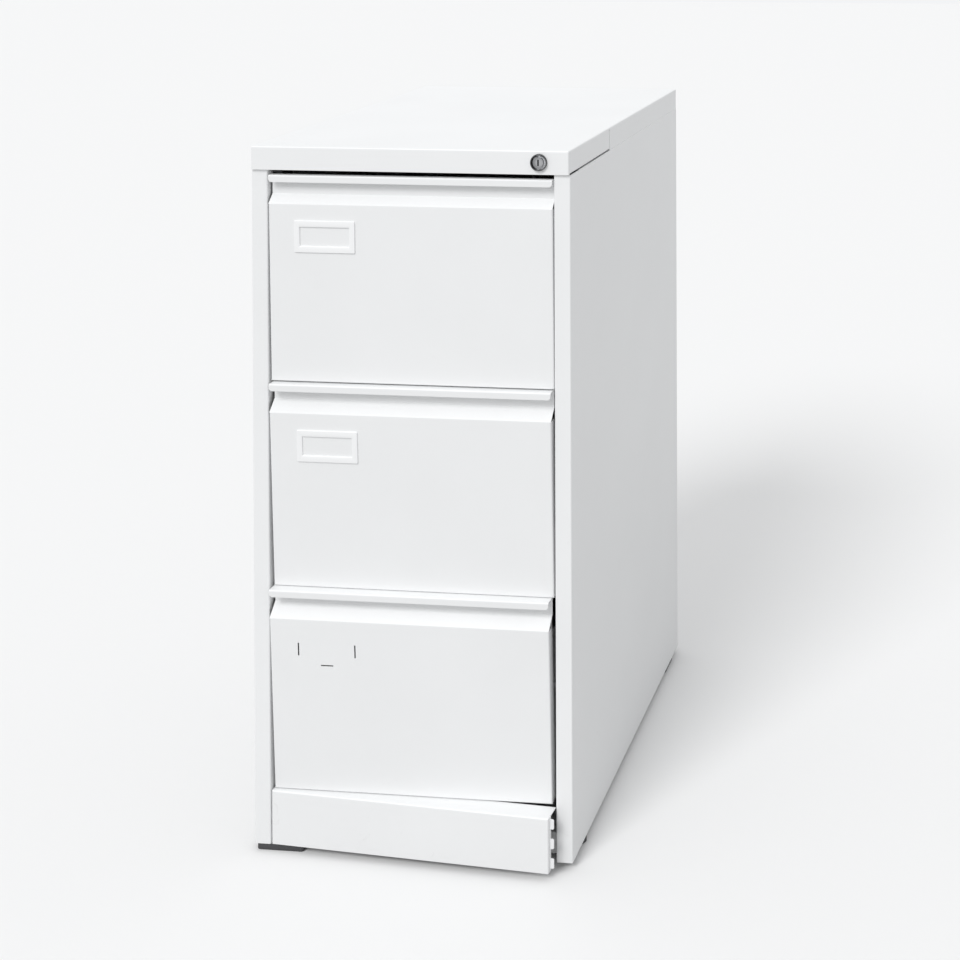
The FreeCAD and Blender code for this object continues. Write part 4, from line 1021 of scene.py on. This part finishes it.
def ball_strip(x, z, start):
    """A flat strip along Y with a square window around every ball.

    It is a grid of three rows of cells, and the middle row is left out near each ball's middle.
    """
    steps = start + ball_spacing * (np.arange(ball_count) + 0.5)
    window_edges = np.concatenate([steps - window / 2, steps + window / 2])
    y = stations(start, start + ball_spacing * ball_count, ball_spacing, window_edges)
    across = np.array([-strip_half, -window / 2, window / 2, strip_half])
    keep = np.ones((len(across) - 1, len(y) - 1), bool)
    middle_y = (y[:-1] + y[1:]) / 2
    keep[1] = np.abs(middle_y[:, None] - steps[None, :]).min(axis=1) > window / 2
    layers = []
    for level in (-0.5, 0.5):
        grid_x, grid_y = np.meshgrid(across + x, y, indexing="ij")
        layers.append(np.stack([grid_x, grid_y, np.full(grid_x.shape, z + level * strip_thickness)], 2))
    return np.concatenate([layer.reshape(-1, 3) for layer in layers]), sheet_faces(keep)


for name in front_lean:
    low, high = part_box(f"{name}_middle_slides")
    axis_z = (low[2] + high[2]) / 2
    rear_start = high[1] - ball_spacing * ball_count - strip_end_room
    front_start = low[1] + strip_end_room
    gaps = [
        (outer_gap_inset, outer_gap_rise, rear_start),
        (inner_gap_inset, inner_gap_rise, front_start),
    ]
    rows = []
    for side in (-1, 1):
        for way in (-1, 1):
            for inset, rise, start in gaps:
                x = side * (high[0] - inset)
                z = axis_z + way * rise
                rows.append(ball_row(x, z, start))
                rows.append(ball_strip(x, z, start))
    points, faces = merge(*rows)
    body = f"{name}_middle_slides"
    cages = make_piece(f"{name}_ball_cages", points, faces, body, ball_steel)
    print(cages.name, len(faces), "faces")

# %% [markdown]
# ## The floor and the light
# White paint shows its bends only where the light is even but not flat. So a pale world lights all
# sides, and one large soft lamp from the front left makes the fronts brighter than the right side.
# The floor is pale to the camera and in reflections. For the light that bounces from it, it is a
# mid grey, because a white floor would take away the shade low on the cabinet.

# %% One colour to be seen, another to light with


def seen_or_lit(tree, seen, lit):
    """A colour that is one for the camera, reflections and glass, and another for other rays."""
    path = tree.nodes.new("ShaderNodeLightPath")
    directly = maths(tree, "MAXIMUM", path.outputs["Is Camera Ray"], path.outputs["Is Glossy Ray"])
    at_all = maths(tree, "MAXIMUM", directly, path.outputs["Is Transmission Ray"])
    return mixed_color(tree, at_all, lit, seen)


print("the floor and the world use this")

# %% Floor
floor_mesh = bpy.data.meshes.new("floor")
floor_reach = 14.0
floor_corners = [(x * floor_reach, y * floor_reach, 0) for x, y in ((-1, -1), (1, -1), (1, 1), (-1, 1))]
floor_mesh.from_pydata(floor_corners, [], [(0, 1, 2, 3)])
floor = bpy.data.objects.new("floor", floor_mesh)
bpy.context.scene.collection.objects.link(floor)
floor_material, tree, shader, _ = new_material("pale_floor")
floor_bounce = (0.46, 0.46, 0.46, 1.0)
floor_seen = (0.86, 0.86, 0.86, 1.0)
tree.links.new(seen_or_lit(tree, floor_seen, floor_bounce), shader.inputs["Base Color"])
shader.inputs["Roughness"].default_value = 0.9
shader.inputs["Specular IOR Level"].default_value = 0.1
floor_mesh.materials.append(floor_material)
print("floor", floor.dimensions[:])

# %% World and lamp
world = bpy.data.worlds.new("studio")
bpy.context.scene.world = world
world.use_nodes = True
tree = world.node_tree
backdrop = tree.nodes["Background"]
world_light = (0.775, 0.781, 0.787, 1.0)
world_seen = (0.90, 0.91, 0.92, 1.0)
tree.links.new(seen_or_lit(tree, world_seen, world_light), backdrop.inputs["Color"])

soft_light = bpy.data.lights.new("soft_lamp", "SUN")
soft_light.angle = math.radians(24)
soft_light.energy = 1.42
lamp = bpy.data.objects.new("soft_lamp", soft_light)
towards_lamp = Vector((-0.22, -0.74, 0.70))
lamp.rotation_euler = towards_lamp.to_track_quat("Z", "Y").to_euler()
bpy.context.scene.collection.objects.link(lamp)
bpy.context.scene.view_settings.view_transform = "Standard"
print("lamp from", tuple(round(part, 2) for part in towards_lamp))
